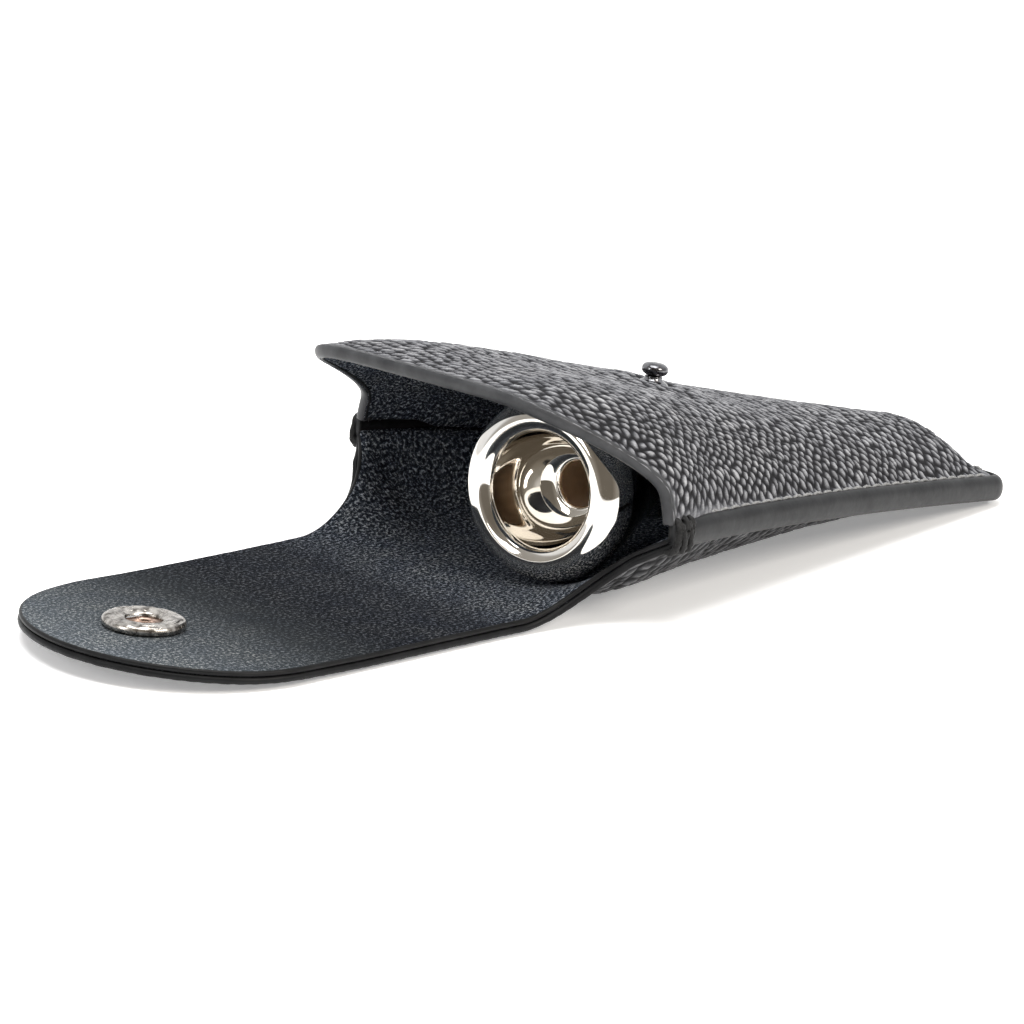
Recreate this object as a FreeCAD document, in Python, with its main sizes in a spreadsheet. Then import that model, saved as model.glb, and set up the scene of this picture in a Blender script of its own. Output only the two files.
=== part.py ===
import FreeCAD, Part
import math
import os

import Sketcher

# A leather pouch for a brass-instrument mouthpiece, lying open on a table.
# +X runs along the pouch from its mouth to its bottom seam, +Z is up and the
# table is z = 0.  The origin is on the table under the middle of the mouth,
# in line with the two mouth corners.  All sizes are in millimetres.

DIMENSIONS = [
    # alias, value, meaning
    ("outer_skin", 1.1, "thickness of the outer leather"),
    ("lining_skin", 0.8, "thickness of the suede lining"),
    ("pouch_length", 87.4, "mouth corners to bottom edge"),
    ("mouth_half", 33.2, "half width at the mouth corners"),
    ("bottom_half", 15.6, "half width at the bottom edge"),
    ("bottom_round", 4.0, "radius of the two bottom corners"),
    ("seam_rise", 12.8, "height of the seam's parting line at the mouth"),
    ("flange_mouth", 1.9, "seam flange width at the mouth corners"),
    ("flange_body", 3.6, "seam flange width along the body"),
    ("crest_lip", 31.92, "height of the front's crest at the lip"),
    ("crest_mouth", 29.9, "height of the crest above the mouth corners"),
    ("crest_stud", 23.37, "height of the crest at the stud"),
    ("crest_middle", 14.98, "height of the crest two thirds of the way down"),
    ("crest_end", 10.0, "height of the crest just before the bottom seam"),
    ("bottom_flange", 2.2, "width of the flat stitched flange at the bottom"),
    ("end_round", 6.8, "length over which the crest drops to the bottom seam"),
    ("lip_reach", 18.25, "how far the front's lip stands out past the mouth corners"),
    ("flap_half", 23.5, "half width of the flap"),
    ("neck_flare", 9.7, "extra half width of the flap where it meets the mouth"),
    ("fold_one", 12.0, "mouth corners to the flap's first fold"),
    ("spine_length", 35.0, "first fold to second fold"),
    ("flap_tip", 79.7, "mouth corners to the flap's tip"),
    ("tongue_tilt", 3.5, "degrees the tongue is propped up by its snap cap"),
    ("snap_reach", 64.9, "mouth corners to the snap socket"),
    ("cap_round", 6.2, "radius of the snap cap"),
    ("cap_height", 1.05, "height of the snap cap's dome"),
    ("post_outer", 2.35, "outer radius of the cap's tubular post"),
    ("post_inner", 2.05, "inner radius of the cap's tubular post"),
    ("socket_round", 5.7, "outer radius of the snap socket"),
    ("socket_height", 1.5, "height of the snap socket"),
    ("stud_reach", 27.0, "mouth corners to the stud"),
    ("stud_height", 3.0, "height of the stud above the leather"),
    ("stud_head", 1.95, "radius of the stud's ball head"),
    ("stud_shank", 1.7, "radius of the stud's shank through the leather"),
    ("stud_tilt", 9.0, "degrees between the stud's axis and the vertical"),
    ("rim_round", 12.9, "radius of the mouthpiece rim"),
    ("bite_round", 8.05, "radius of the rim's inner edge"),
    ("cup_depth", 10.4, "rim face to the floor of the cup"),
    ("throat_mouth", 3.55, "radius of the lip where the cup falls into the throat"),
    ("throat_round", 1.85, "radius of the throat"),
    ("mouthpiece_length", 70.0, "rim face to the end of the shank"),
    ("shank_round", 4.25, "radius at the small end of the shank"),
    ("mouthpiece_x", -7.4, "centre of the rim face"),
    ("mouthpiece_y", -13.2, "centre of the rim face"),
    ("mouthpiece_z", 15.75, "centre of the rim face"),
    ("mouthpiece_yaw", 13.0, "degrees the mouthpiece points across the pouch"),
    ("mouthpiece_dip", 6.3, "degrees the shank dips into the pouch"),
    ("stitch_pitch", 3.0, "length of one stitch"),
    ("thread_round", 0.25, "radius of the sewing thread"),
]

doc = FreeCAD.newDocument("mouthpiece_pouch")
sheet = doc.addObject("Spreadsheet::Sheet", "dims")
for row, (alias, value, meaning) in enumerate(DIMENSIONS, start=1):
    sheet.set("A%d" % row, alias)
    sheet.set("B%d" % row, str(value))
    sheet.set("C%d" % row, meaning)
    sheet.setAlias("B%d" % row, alias)
doc.recompute()

skin_outer = sheet.outer_skin
skin_lining = sheet.lining_skin
skin_total = skin_outer + skin_lining
pouch_length = sheet.pouch_length
CLEARANCE = 0.03        # radial play of the metal pieces in their holes
NECK_FADE = 4.8         # length over which the neck's extra width dies away
SEAM_ARCH = 1.3         # how the parting line falls towards the bottom; 1 is straight
parts = {}


# ---------------------------------------------------------------- pouch form

def ease(t):
    """A smooth step from 0 to 1."""
    t = min(max(t, 0.0), 1.0)
    return t * t * (3.0 - 2.0 * t)


def seam_half(x):
    """Half width of the pouch at its stitched edge; past the mouth, of the flap's neck."""
    if x < 0.0:
        flare = sheet.neck_flare * math.exp(x / NECK_FADE)
        return sheet.flap_half + flare
    return sheet.mouth_half + (sheet.bottom_half - sheet.mouth_half) * x / pouch_length


def seam_height(x):
    """Height of the parting line between the back and the front."""
    if x < 0.0:
        rise = max(0.0, 1.0 + x / sheet.fold_one) ** 1.5
        return skin_total + (sheet.seam_rise - skin_total) * rise
    fall = min(x / pouch_length, 1.0) ** SEAM_ARCH
    return sheet.seam_rise + (skin_total - sheet.seam_rise) * fall


def flange_width(x):
    """Width of the flat stitched flange inside the edge."""
    if x < 0.0:
        return max(0.5, sheet.flange_mouth + 0.5 * x)
    return sheet.flange_mouth + (sheet.flange_body - sheet.flange_mouth) * ease(x / 20.0)


def through_points(stations, heights, x):
    """Lagrange polynomial through the given heights."""
    total = 0.0
    for i, height in enumerate(heights):
        term = height
        for j, station in enumerate(stations):
            if j != i:
                term *= (x - station) / (stations[i] - station)
        total += term
    return total


def crest_height(x):
    """Height of the outer leather along the middle of the front."""
    stations = [-17.0, 0.0, 26.7, 60.0, 84.0]
    heights = [sheet.crest_lip, sheet.crest_mouth, sheet.crest_stud,
               sheet.crest_middle, sheet.crest_end]
    return through_points(stations, heights, x)


def end_drop(x):
    """1 along the body, falling to 0 where the front meets the bottom flange."""
    start = pouch_length - sheet.bottom_flange - sheet.end_round
    t = min(max((x - start) / sheet.end_round, 0.0), 1.0)
    return math.sqrt(max(0.0, 1.0 - t * t))


def front_profile(x, count):
    """Inner face of the front at station x, crease to crease, evenly spaced."""
    into = max(x, 0.0)
    half = seam_half(into) - flange_width(into)
    base = seam_height(into)
    rise = (crest_height(x) - skin_total - base) * end_drop(x)
    boxiness = 6.7 + (1.6 - 6.7) * into / pouch_length
    shoulder = 0.66 + 0.34 * ease(into / 45.0)
    lean = -0.07 * min(max((20.0 - x) / 37.0, 0.0), 1.0)
    dense = []
    steps = 400
    for i in range(steps + 1):
        u = math.sin(math.pi * (i / steps - 0.5))
        arch = max(0.0, 1.0 - abs(u) ** boxiness) ** shoulder
        dense.append((half * u, base + rise * arch * (1.0 + lean * u)))
    return resample(dense, count)


def resample(curve, count):
    """The curve's points at count equal steps of its length."""
    travelled = [0.0]
    for a, b in zip(curve[:-1], curve[1:]):
        travelled.append(travelled[-1] + math.hypot(b[0] - a[0], b[1] - a[1]))
    result = []
    j = 0
    for i in range(count + 1):
        goal = travelled[-1] * i / count
        while j < len(curve) - 2 and travelled[j + 1] < goal:
            j += 1
        span = travelled[j + 1] - travelled[j]
        t = 0.0 if span == 0.0 else (goal - travelled[j]) / span
        result.append((curve[j][0] + t * (curve[j + 1][0] - curve[j][0]),
                       curve[j][1] + t * (curve[j + 1][1] - curve[j][1])))
    return result


def offset_curve(points, distance):
    """The open curve moved to its left by the distance, with mitred corners."""
    moved = []
    last = len(points) - 1
    for i, (y, z) in enumerate(points):
        before = points[max(i - 1, 0)]
        after = points[min(i + 1, last)]
        normals = []
        for a, b in ((before, (y, z)), ((y, z), after)):
            length = math.hypot(b[0] - a[0], b[1] - a[1])
            if length > 0.0:
                normals.append((-(b[1] - a[1]) / length, (b[0] - a[0]) / length))
        ny = sum(n[0] for n in normals) / len(normals)
        nz = sum(n[1] for n in normals) / len(normals)
        size2 = ny * ny + nz * nz
        moved.append((y + distance * ny / size2, z + distance * nz / size2))
    return moved


FLANGE_SPARE = 1.0      # flange beyond the edge, trimmed off by the plan outline
ARCH_STEPS = 14


def front_layer_curve(x, lift):
    """Flange, arch and flange of the front at station x, lift above its inner face."""
    into = max(x, 0.0)
    edge = seam_half(into) + FLANGE_SPARE
    base = seam_height(into)
    points = [(-edge, base)] + front_profile(x, ARCH_STEPS) + [(edge, base)]
    if lift == 0.0:
        return points
    moved = offset_curve(points, lift)
    moved[0] = (-edge, base + lift)
    moved[-1] = (edge, base + lift)
    return moved


def spline(points):
    curve = Part.BSplineCurve()
    curve.interpolate(points)
    return curve.toShape()


def front_section(x, low, high):
    """Closed section of one layer of the front, from lift low to lift high."""
    edges = []
    lower = [FreeCAD.Vector(x, y, z) for y, z in front_layer_curve(x, low)]
    upper = [FreeCAD.Vector(x, y, z) for y, z in front_layer_curve(x, high)]
    upper.reverse()
    for line in (lower, upper):
        edges.append(Part.makeLine(line[0], line[1]))
        edges.append(spline(line[1:-1]))
        edges.append(Part.makeLine(line[-2], line[-1]))
    closing = [Part.makeLine(lower[-1], upper[0]), Part.makeLine(upper[-1], lower[0])]
    ordered = edges[:3] + closing[:1] + edges[3:] + closing[1:]
    return Part.Wire(ordered)


FLAT_SHARE = 0.3        # middle share of the back that lies flat on the table
SIDE_STEPS = 7


def back_layer_curve(x, drop, spare):
    """Flange, side, flat, side and flange of the back, drop below its inner face."""
    edge = seam_half(x) + spare
    half = seam_half(x) - flange_width(x)
    rise = seam_height(x) - skin_total
    power = 2.6 - 0.9 * min(max((x - 5.0) / 40.0, 0.0), 1.0)
    flat = FLAT_SHARE * half
    side = []
    for i in range(SIDE_STEPS + 1):
        v = i / SIDE_STEPS
        y = flat + (half - flat) * v
        slope = power * rise * v ** (power - 1.0) / (half - flat)
        if i == SIDE_STEPS:
            slope *= 0.5
        z = skin_total + rise * v ** power - drop * math.sqrt(1.0 + slope * slope)
        side.append((y, z))
    outer = [(edge, skin_total + rise - drop)]
    right = side + outer
    left = [(-y, z) for y, z in reversed(right)]
    return left, right


GROUND_SPARE = 0.02     # extra thickness under the back, cut off at the table


def back_section(x, low, high, spare):
    """Closed section of one layer of the back, from drop low to drop high."""
    edges = []
    ends = []
    for drop in (low, high):
        left, right = back_layer_curve(x, drop, spare)
        left = [FreeCAD.Vector(x, y, z) for y, z in left]
        right = [FreeCAD.Vector(x, y, z) for y, z in right]
        run = [Part.makeLine(left[0], left[1]), spline(left[1:]),
               Part.makeLine(left[-1], right[0]), spline(right[:-1]),
               Part.makeLine(right[-2], right[-1])]
        edges.append(run)
        ends.append((left[0], right[-1]))
    closing_right = Part.makeLine(ends[0][1], ends[1][1])
    closing_left = Part.makeLine(ends[1][0], ends[0][0])
    ordered = edges[0] + [closing_right] + list(reversed(edges[1])) + [closing_left]
    return Part.Wire(Part.__sortEdges__(ordered))


def lip_line(y):
    """How far the front stands out past the mouth corners at y (negative x)."""
    u = min(abs(y) / (sheet.mouth_half - 1.0), 1.0)
    return -sheet.lip_reach * (1.0 - u ** 8.4) ** 1.5


PRISM_FOOT = -5.0
PRISM_HEIGHT = 50.0


def plan_prism(with_lip):
    """Prism over the plan of the pouch, with rounded bottom corners.

    The front's plan has the lip past the mouth corners; the back's stops at them.
    """
    half = sheet.mouth_half
    narrow = sheet.bottom_half
    far = pouch_length
    corner_near = FreeCAD.Vector(0.0, -half, PRISM_FOOT)
    corner_far = FreeCAD.Vector(0.0, half, PRISM_FOOT)
    bottom_near = FreeCAD.Vector(far, -narrow, PRISM_FOOT)
    bottom_far = FreeCAD.Vector(far, narrow, PRISM_FOOT)
    edges = [Part.makeLine(corner_near, bottom_near),
             Part.makeLine(bottom_near, bottom_far),
             Part.makeLine(bottom_far, corner_far)]
    if with_lip:
        steps = 24
        lip = []
        for i in range(steps + 1):
            y = half * math.cos(math.pi * i / steps)
            lip.append(FreeCAD.Vector(lip_line(y), y, PRISM_FOOT))
        edges.append(spline(lip))
    else:
        edges.append(Part.makeLine(corner_far, corner_near))
    prism = Part.Face(Part.Wire(edges)).extrude(FreeCAD.Vector(0.0, 0.0, PRISM_HEIGHT))
    upright = []
    for edge in prism.Edges:
        middle = edge.CenterOfMass
        at_bottom = abs(middle.x - far) < 0.01 and abs(abs(middle.y) - narrow) < 0.01
        if at_bottom and abs(edge.Length - PRISM_HEIGHT) < 0.01:
            upright.append(edge)
    return prism.makeFillet(sheet.bottom_round, upright)


# The panels are continued a little past the bottom edge and the fold, and trimmed.
FRONT_STATIONS = [-24.0, -12.0, 0.0, 5.0, 10.0, 15.0, 20.0, 27.0, 35.0, 45.0, 55.0, 65.0,
                  73.0, 78.4, 80.2, 81.9, 83.2, 84.2, 84.9, 85.2, 89.0]
BODY_STATIONS = [0.0, 5.0, 10.0, 15.0, 20.0, 30.0, 45.0, 60.0, 75.0, 84.0, 89.0]
NECK_STATIONS = [-11.0, -9.0, -7.0, -5.0, -3.5, -2.0, 0.0]
FOLD_GAP = 0.02         # free gap on each side of a fold line


def soft_piece(name, shape):
    """Put a finished shape in the document as a sub-part of its own."""
    feature = doc.addObject("Part::Feature", name)
    feature.Shape = shape
    feature.Label = name
    feature.Placement = FreeCAD.Placement()
    parts[name] = feature
    return feature


def stud_axis():
    """Point where the stud's axis leaves the front's crest, and its direction."""
    x = sheet.stud_reach
    tilt = math.radians(sheet.stud_tilt)
    return FreeCAD.Vector(x, 0.0, crest_height(x)), \
        FreeCAD.Vector(math.sin(tilt), 0.0, math.cos(tilt))


def make_front():
    prism = plan_prism(True)
    base, up = stud_axis()
    hole = Part.makeCylinder(sheet.stud_shank + CLEARANCE, 12.0, base - up * 6.0, up)
    layers = {"front_lining": (0.0, skin_lining), "front_leather": (skin_lining, skin_total)}
    for name, (low, high) in layers.items():
        sections = [front_section(x, low, high) for x in FRONT_STATIONS]
        loft = Part.makeLoft(sections, True, True)
        soft_piece(name, loft.common(prism).cut(hole))


def make_back():
    prism = plan_prism(False)
    below = Part.makeBox(200.0, 100.0, 10.0, FreeCAD.Vector(-50.0, -50.0, -10.0))
    layers = {"back_lining": (0.0, skin_lining),
              "back_leather": (skin_lining, skin_total + GROUND_SPARE)}
    for name, (low, high) in layers.items():
        body_sections = [back_section(x, low, high, FLANGE_SPARE) for x in BODY_STATIONS]
        body = Part.makeLoft(body_sections, True, True).common(prism)
        neck_stations = [-sheet.fold_one + FOLD_GAP] + NECK_STATIONS
        neck_sections = [back_section(x, low, high, 0.0) for x in neck_stations]
        neck = Part.makeLoft(neck_sections, True, True)
        soft_piece(name, body.fuse(neck).cut(below))


# ------------------------------------------------------------------- sewing

UNDERSIDE_SAG = 0.3     # the back's flange thickens towards its crease
THREAD_FLOAT = 0.05     # gap between a stitch and the leather
STITCH_SHARE = 0.8      # visible share of one stitch's pitch


def thread_bar(start, end):
    direction = end - start
    return Part.makeCylinder(sheet.thread_round, direction.Length, start, direction)


def side_stitches(name, side):
    """Stitches on the top and the underside of one side flange."""
    pitch = sheet.stitch_pitch
    float_gap = sheet.thread_round + THREAD_FLOAT
    bars = []
    first = 10.0
    count = int((pouch_length - first - 7.0) / pitch)
    for i in range(count):
        a = first + i * pitch
        b = a + pitch * STITCH_SHARE
        for lift in (skin_total + float_gap, -skin_total - UNDERSIDE_SAG - float_gap):
            ends = []
            for x in (a, b):
                inset = 0.32 * flange_width(x)
                ends.append(FreeCAD.Vector(x, side * (seam_half(x) - inset),
                                           seam_height(x) + lift))
            bars.append(thread_bar(ends[0], ends[1]))
    soft_piece(name, Part.makeCompound(bars))


def bottom_stitches():
    """Stitches across the bottom flange, top and underside."""
    pitch = sheet.stitch_pitch
    float_gap = sheet.thread_round + THREAD_FLOAT
    x = pouch_length - 1.4
    half = sheet.bottom_half - sheet.bottom_round
    count = int(2.0 * half / pitch)
    bars = []
    for i in range(count):
        a = -count * pitch / 2.0 + i * pitch
        b = a + pitch * STITCH_SHARE
        z = seam_height(x) + skin_total + float_gap
        bars.append(thread_bar(FreeCAD.Vector(x, a, z), FreeCAD.Vector(x, b, z)))
    soft_piece("bottom_stitches", Part.makeCompound(bars))


def corner_tack(name, side):
    """Three turns of thread over the cut edge at one mouth corner."""
    turns = []
    radius = 0.4
    for i in range(3):
        x = 0.7 + 0.9 * i
        y = side * (seam_half(x) + radius + 0.03)
        z = seam_height(x)
        turns.append(Part.makeCylinder(radius, 4.6, FreeCAD.Vector(x, y, z - 2.3)))
    soft_piece(name, Part.makeCompound(turns))


# ----------------------------------------------------- parametric body helpers

def origin_plane(body, role):
    for feature in body.Origin.OriginFeatures:
        if feature.Role == role:
            return feature
    raise ValueError(role)


def new_body(name):
    body = doc.addObject("PartDesign::Body", name)
    body.Label = name
    parts[name] = body
    return body


def new_sketch(body, name, role="XY_Plane"):
    sketch = body.newObject("Sketcher::SketchObject", name)
    sketch.AttachmentSupport = (origin_plane(body, role), [""])
    sketch.MapMode = "FlatFace"
    return sketch


def pad(body, sketch, name, length_expression):
    feature = body.newObject("PartDesign::Pad", name)
    feature.Profile = sketch
    feature.setExpression("Length", length_expression)
    return feature


def closed_lines(sketch, points):
    """Straight closed outline; every corner is fixed by a coordinate pair."""
    for i, (x, y) in enumerate(points):
        after = points[(i + 1) % len(points)]
        sketch.addGeometry(Part.LineSegment(FreeCAD.Vector(x, y, 0.0),
                                            FreeCAD.Vector(after[0], after[1], 0.0)))
    for i in range(len(points)):
        after = (i + 1) % len(points)
        sketch.addConstraint(Sketcher.Constraint("Coincident", i, 2, after, 1))


def turned_body(name, outline):
    """A body revolved about its own Z axis from an (r, z) outline."""
    body = new_body(name)
    sketch = new_sketch(body, name + "_profile", "XZ_Plane")
    closed_lines(sketch, outline)
    turn = body.newObject("PartDesign::Revolution", name + "_turn")
    turn.Profile = sketch
    turn.ReferenceAxis = (sketch, ["V_Axis"])
    turn.Angle = 360.0
    return body


# --------------------------------------------------------------------- flap

def make_spine():
    """The flap between its two folds: a plain strip in two layers."""
    for name, bottom, thickness in (("spine_leather", "0", "outer_skin"),
                                    ("spine_lining", "outer_skin", "lining_skin")):
        body = new_body(name)
        sketch = new_sketch(body, name + "_outline")
        start = -sheet.fold_one - FOLD_GAP
        end = -sheet.fold_one - sheet.spine_length + FOLD_GAP
        half = sheet.flap_half
        closed_lines(sketch, [(start, -half), (start, half), (end, half), (end, -half)])
        for line, kind in ((0, "Vertical"), (1, "Horizontal"),
                           (2, "Vertical"), (3, "Horizontal")):
            sketch.addConstraint(Sketcher.Constraint(kind, line))
        width = sketch.addConstraint(Sketcher.Constraint("DistanceY", 0, 1, 0, 2, 2.0 * half))
        sketch.setExpression("Constraints[%d]" % width, "dims.flap_half * 2")
        middle = sketch.addConstraint(Sketcher.Constraint("DistanceY", -1, 1, 0, 2, half))
        sketch.setExpression("Constraints[%d]" % middle, "dims.flap_half")
        near = sketch.addConstraint(Sketcher.Constraint("DistanceX", 0, 1, -1, 1, -start))
        sketch.setExpression("Constraints[%d]" % near, "dims.fold_one + %s" % FOLD_GAP)
        run = sketch.addConstraint(Sketcher.Constraint("DistanceX", 1, 2, 1, 1, start - end))
        sketch.setExpression("Constraints[%d]" % run, "dims.spine_length - %s" % (2.0 * FOLD_GAP))
        pad(body, sketch, name + "_pad", "dims." + thickness)
        if bottom != "0":
            body.setExpression("Placement.Base.z", "dims." + bottom)


def tongue_placement(body, depth_expression):
    """Hang a piece of the tongue from the second fold, tilted by the snap cap."""
    tilt = sheet.tongue_tilt
    body.Placement = FreeCAD.Placement(FreeCAD.Vector(0.0, 0.0, 0.0),
                                       FreeCAD.Rotation(FreeCAD.Vector(0, 1, 0), tilt))
    body.setExpression("Placement.Rotation.Angle", "dims.tongue_tilt * 1deg")
    depth = depth_expression
    body.setExpression("Placement.Base.x",
                       "-dims.fold_one - dims.spine_length - (%s) * sin(dims.tongue_tilt * 1deg)"
                       % depth)
    body.setExpression("Placement.Base.z",
                       "dims.outer_skin + dims.lining_skin - (%s) * cos(dims.tongue_tilt * 1deg)"
                       % depth)


def make_tongue():
    """The flap past its second fold: a strip with a round end and the post's hole."""
    half = sheet.flap_half
    straight = sheet.flap_tip - sheet.fold_one - sheet.spine_length - half
    reach = sheet.snap_reach - sheet.fold_one - sheet.spine_length
    vector = FreeCAD.Vector
    for name, depth, thickness in (("tongue_leather", "dims.outer_skin + dims.lining_skin",
                                    "outer_skin"),
                                   ("tongue_lining", "dims.lining_skin", "lining_skin")):
        body = new_body(name)
        sketch = new_sketch(body, name + "_outline")
        sketch.addGeometry(Part.LineSegment(vector(-straight, half, 0), vector(-FOLD_GAP, half, 0)))
        sketch.addGeometry(Part.LineSegment(vector(-FOLD_GAP, half, 0), vector(-FOLD_GAP, -half, 0)))
        sketch.addGeometry(Part.LineSegment(vector(-FOLD_GAP, -half, 0), vector(-straight, -half, 0)))
        circle = Part.Circle(vector(-straight, 0, 0), vector(0, 0, 1), half)
        sketch.addGeometry(Part.ArcOfCircle(circle, math.pi / 2.0, 1.5 * math.pi))
        for a, a_end, b, b_end in ((0, 2, 1, 1), (1, 2, 2, 1), (2, 2, 3, 2), (3, 1, 0, 1)):
            sketch.addConstraint(Sketcher.Constraint("Coincident", a, a_end, b, b_end))
        hole = Part.Circle(vector(-reach, 0, 0), vector(0, 0, 1), sheet.post_outer + CLEARANCE)
        sketch.addGeometry(hole)
        size = sketch.addConstraint(Sketcher.Constraint("Radius", 4, sheet.post_outer + CLEARANCE))
        sketch.setExpression("Constraints[%d]" % size, "dims.post_outer + %s" % CLEARANCE)
        pad(body, sketch, name + "_pad", "dims." + thickness)
        tongue_placement(body, depth)


# ------------------------------------------------------------ snap fastener

def snap_placement(body):
    """Stand a turned piece on the tongue's lining at the snap, +Z out of the lining."""
    reach = "(dims.snap_reach - dims.fold_one - dims.spine_length)"
    tilt = sheet.tongue_tilt
    body.Placement = FreeCAD.Placement(FreeCAD.Vector(0.0, 0.0, 0.0),
                                       FreeCAD.Rotation(FreeCAD.Vector(0, 1, 0), tilt))
    body.setExpression("Placement.Rotation.Angle", "dims.tongue_tilt * 1deg")
    body.setExpression("Placement.Base.x",
                       "-dims.fold_one - dims.spine_length - %s * cos(dims.tongue_tilt * 1deg)"
                       % reach)
    body.setExpression("Placement.Base.z",
                       "dims.outer_skin + dims.lining_skin + %s * sin(dims.tongue_tilt * 1deg)"
                       % reach)


def make_snap():
    """Cap under the tongue, its tubular post, and the socket with its spring."""
    under = -skin_total
    cap = sheet.cap_round
    dome = sheet.cap_height
    cap_outline = [(0.0, under)]
    steps = 10
    for i in range(steps + 1):
        t = i / steps
        r = cap * (1.0 - t)
        cap_outline.append((r, under - 0.35 - (dome - 0.35) * (1.0 - (r / cap) ** 2)))
    cap_outline.insert(1, (cap, under))
    snap_placement(turned_body("snap_cap", cap_outline))

    outer = sheet.post_outer
    inner = sheet.post_inner
    collar = outer + 0.75
    post_outline = [(inner, under), (outer, under), (outer, 0.32), (collar, 0.32),
                    (collar, 0.5), (inner, 0.6)]
    snap_placement(turned_body("cap_post", post_outline))

    round_out = sheet.socket_round
    high = sheet.socket_height
    socket_outline = [(outer + CLEARANCE, 0.02), (round_out - 0.35, 0.02), (round_out - 0.08, 0.25),
                      (round_out, 0.6), (round_out - 0.08, 0.98), (round_out - 0.35, 1.3),
                      (round_out - 0.9, high), (round_out - 1.7, high - 0.04),
                      (3.1, high - 0.3), (2.75, high - 0.28), (2.5, high - 0.4),
                      (2.5, high - 0.6), (4.3, high - 0.6), (4.3, 0.3), (outer + CLEARANCE, 0.3)]
    snap_placement(turned_body("snap_socket", socket_outline))

    spring = doc.addObject("Part::Feature", "socket_spring")
    wires = []
    for side in (-1.0, 1.0):
        start = FreeCAD.Vector(-3.4, side * 2.2, 0.74)
        wires.append(Part.makeCylinder(0.14, 6.8, start, FreeCAD.Vector(1, 0, 0)))
    spring.Shape = Part.makeCompound(wires)
    spring.Label = "socket_spring"
    snap_placement(spring)
    parts["socket_spring"] = spring


def stud_placement(body):
    """Stand a turned piece on the front's crest, +Z along the stud's axis."""
    base, up = stud_axis()
    body.Placement = FreeCAD.Placement(base, FreeCAD.Rotation(FreeCAD.Vector(0, 1, 0),
                                                              sheet.stud_tilt))
    body.setExpression("Placement.Rotation.Angle", "dims.stud_tilt * 1deg")
    body.setExpression("Placement.Base.x", "dims.stud_reach")


def make_stud():
    """Ball stud outside the front, and the flanged rivet that holds it from inside."""
    head = sheet.stud_head
    top = sheet.stud_height
    shank = sheet.stud_shank
    bore = 1.1
    outline = [(bore, -skin_total), (shank, -skin_total), (shank, 0.24), (2.2, 0.24),
               (2.1, 0.44), (1.5, 0.54), (1.35, 0.8), (1.45, 1.05)]
    steps = 12
    low = 1.05
    centre = (top + low) / 2.0
    for i in range(1, steps + 1):
        a = math.pi * (i / steps) - math.pi / 2.0
        r = head * math.cos(a) ** 0.6 if i < steps else 0.0
        z = centre + (top - centre) * math.sin(a)
        if r > 1.45 or a > 0.0:
            outline.append((r, z))
    outline.append((0.0, 1.0))
    outline.append((bore, 1.0))
    stud_placement(turned_body("snap_stud", outline))

    under = -skin_total - 0.4
    rivet = [(0.0, under - 0.4), (3.2, under - 0.4), (3.4, under - 0.25), (3.4, under),
             (bore - 0.05, under), (bore - 0.05, 0.7), (0.0, 0.7)]
    stud_placement(turned_body("stud_rivet", rivet))


# --------------------------------------------------------------- mouthpiece

LIP_EASE = 0.5          # rounding of the lip between cup and throat


def mouthpiece_outline():
    """(r, z) outline with z running from the rim face to the end of the shank."""
    rim = sheet.rim_round
    bite = sheet.bite_round
    depth = sheet.cup_depth
    lip = sheet.throat_mouth
    throat = sheet.throat_round
    length = sheet.mouthpiece_length
    shank = sheet.shank_round
    points = []
    # rim crown, from the bite edge over the crest to the outer edge
    crest = (bite + rim) / 2.0 - 0.6
    for i in range(9):
        a = math.pi * i / 8.0
        half = (crest - bite) if i <= 4 else (rim - crest)
        drop = 0.9 if i <= 4 else 2.6
        points.append((crest - half * math.cos(a), drop * (1.0 - math.sin(a))))
    # outside: rim band, bowl, waist and tapered shank
    for i in range(1, 9):
        a = math.pi / 2.0 * i / 8.0
        points.append((rim - 1.6 * (1.0 - math.cos(a)), 4.4 + 1.9 * math.sin(a)))
    for i in range(1, 11):
        t = i / 10.0
        radius = 11.6 + (6.2 - 11.6) * ease(t) - 1.1 * math.sin(math.pi * t) * t
        points.append((radius, 6.3 + 21.7 * t))
    shoulder = shank + 0.025 * (length - 31.0)
    points += [(6.2, 29.5), (shoulder + 0.5, 30.4), (shoulder, 31.0)]
    points += [(shank + 0.15, length - 0.6), (shank, length)]
    # inside: backbore, throat, shoulder and bowl
    points += [(shank - 0.75, length), (3.3, length - 12.0), (2.5, 36.0), (throat, 24.0),
               (throat, 20.0), (2.2, 15.0), (lip - LIP_EASE, depth + 1.6)]
    for i in range(1, 5):
        a = math.pi / 2.0 * i / 4.0
        points.append((lip - LIP_EASE * math.cos(a), depth + 1.6 - 1.4 * math.sin(a)))
    for i in range(1, 12):
        a = math.pi / 2.0 * i / 12.0
        points.append((lip + (bite - lip) * math.sin(a),
                       depth + 0.2 - (depth - 0.9) * (1.0 - math.cos(a))))
    return points


def make_mouthpiece():
    """One turned piece: rim, cup, throat, backbore and tapered shank."""
    body = turned_body("mouthpiece", mouthpiece_outline())
    yaw = FreeCAD.Rotation(FreeCAD.Vector(0, 0, 1), sheet.mouthpiece_yaw)
    dip = FreeCAD.Rotation(FreeCAD.Vector(0, 1, 0), 90.0 + sheet.mouthpiece_dip)
    body.Placement = FreeCAD.Placement(FreeCAD.Vector(0, 0, 0), yaw.multiply(dip))
    for letter in "xyz":
        body.setExpression("Placement.Base." + letter, "dims.mouthpiece_" + letter)


# -------------------------------------------------------------------- build

make_back()
make_front()
for stitch_name, stitch_side in (("near_side_stitches", -1.0), ("far_side_stitches", 1.0)):
    side_stitches(stitch_name, stitch_side)
bottom_stitches()
for tack_name, tack_side in (("near_corner_tack", -1.0), ("far_corner_tack", 1.0)):
    corner_tack(tack_name, tack_side)
make_spine()
make_tongue()
make_snap()
make_stud()
make_mouthpiece()
doc.recompute()

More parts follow.
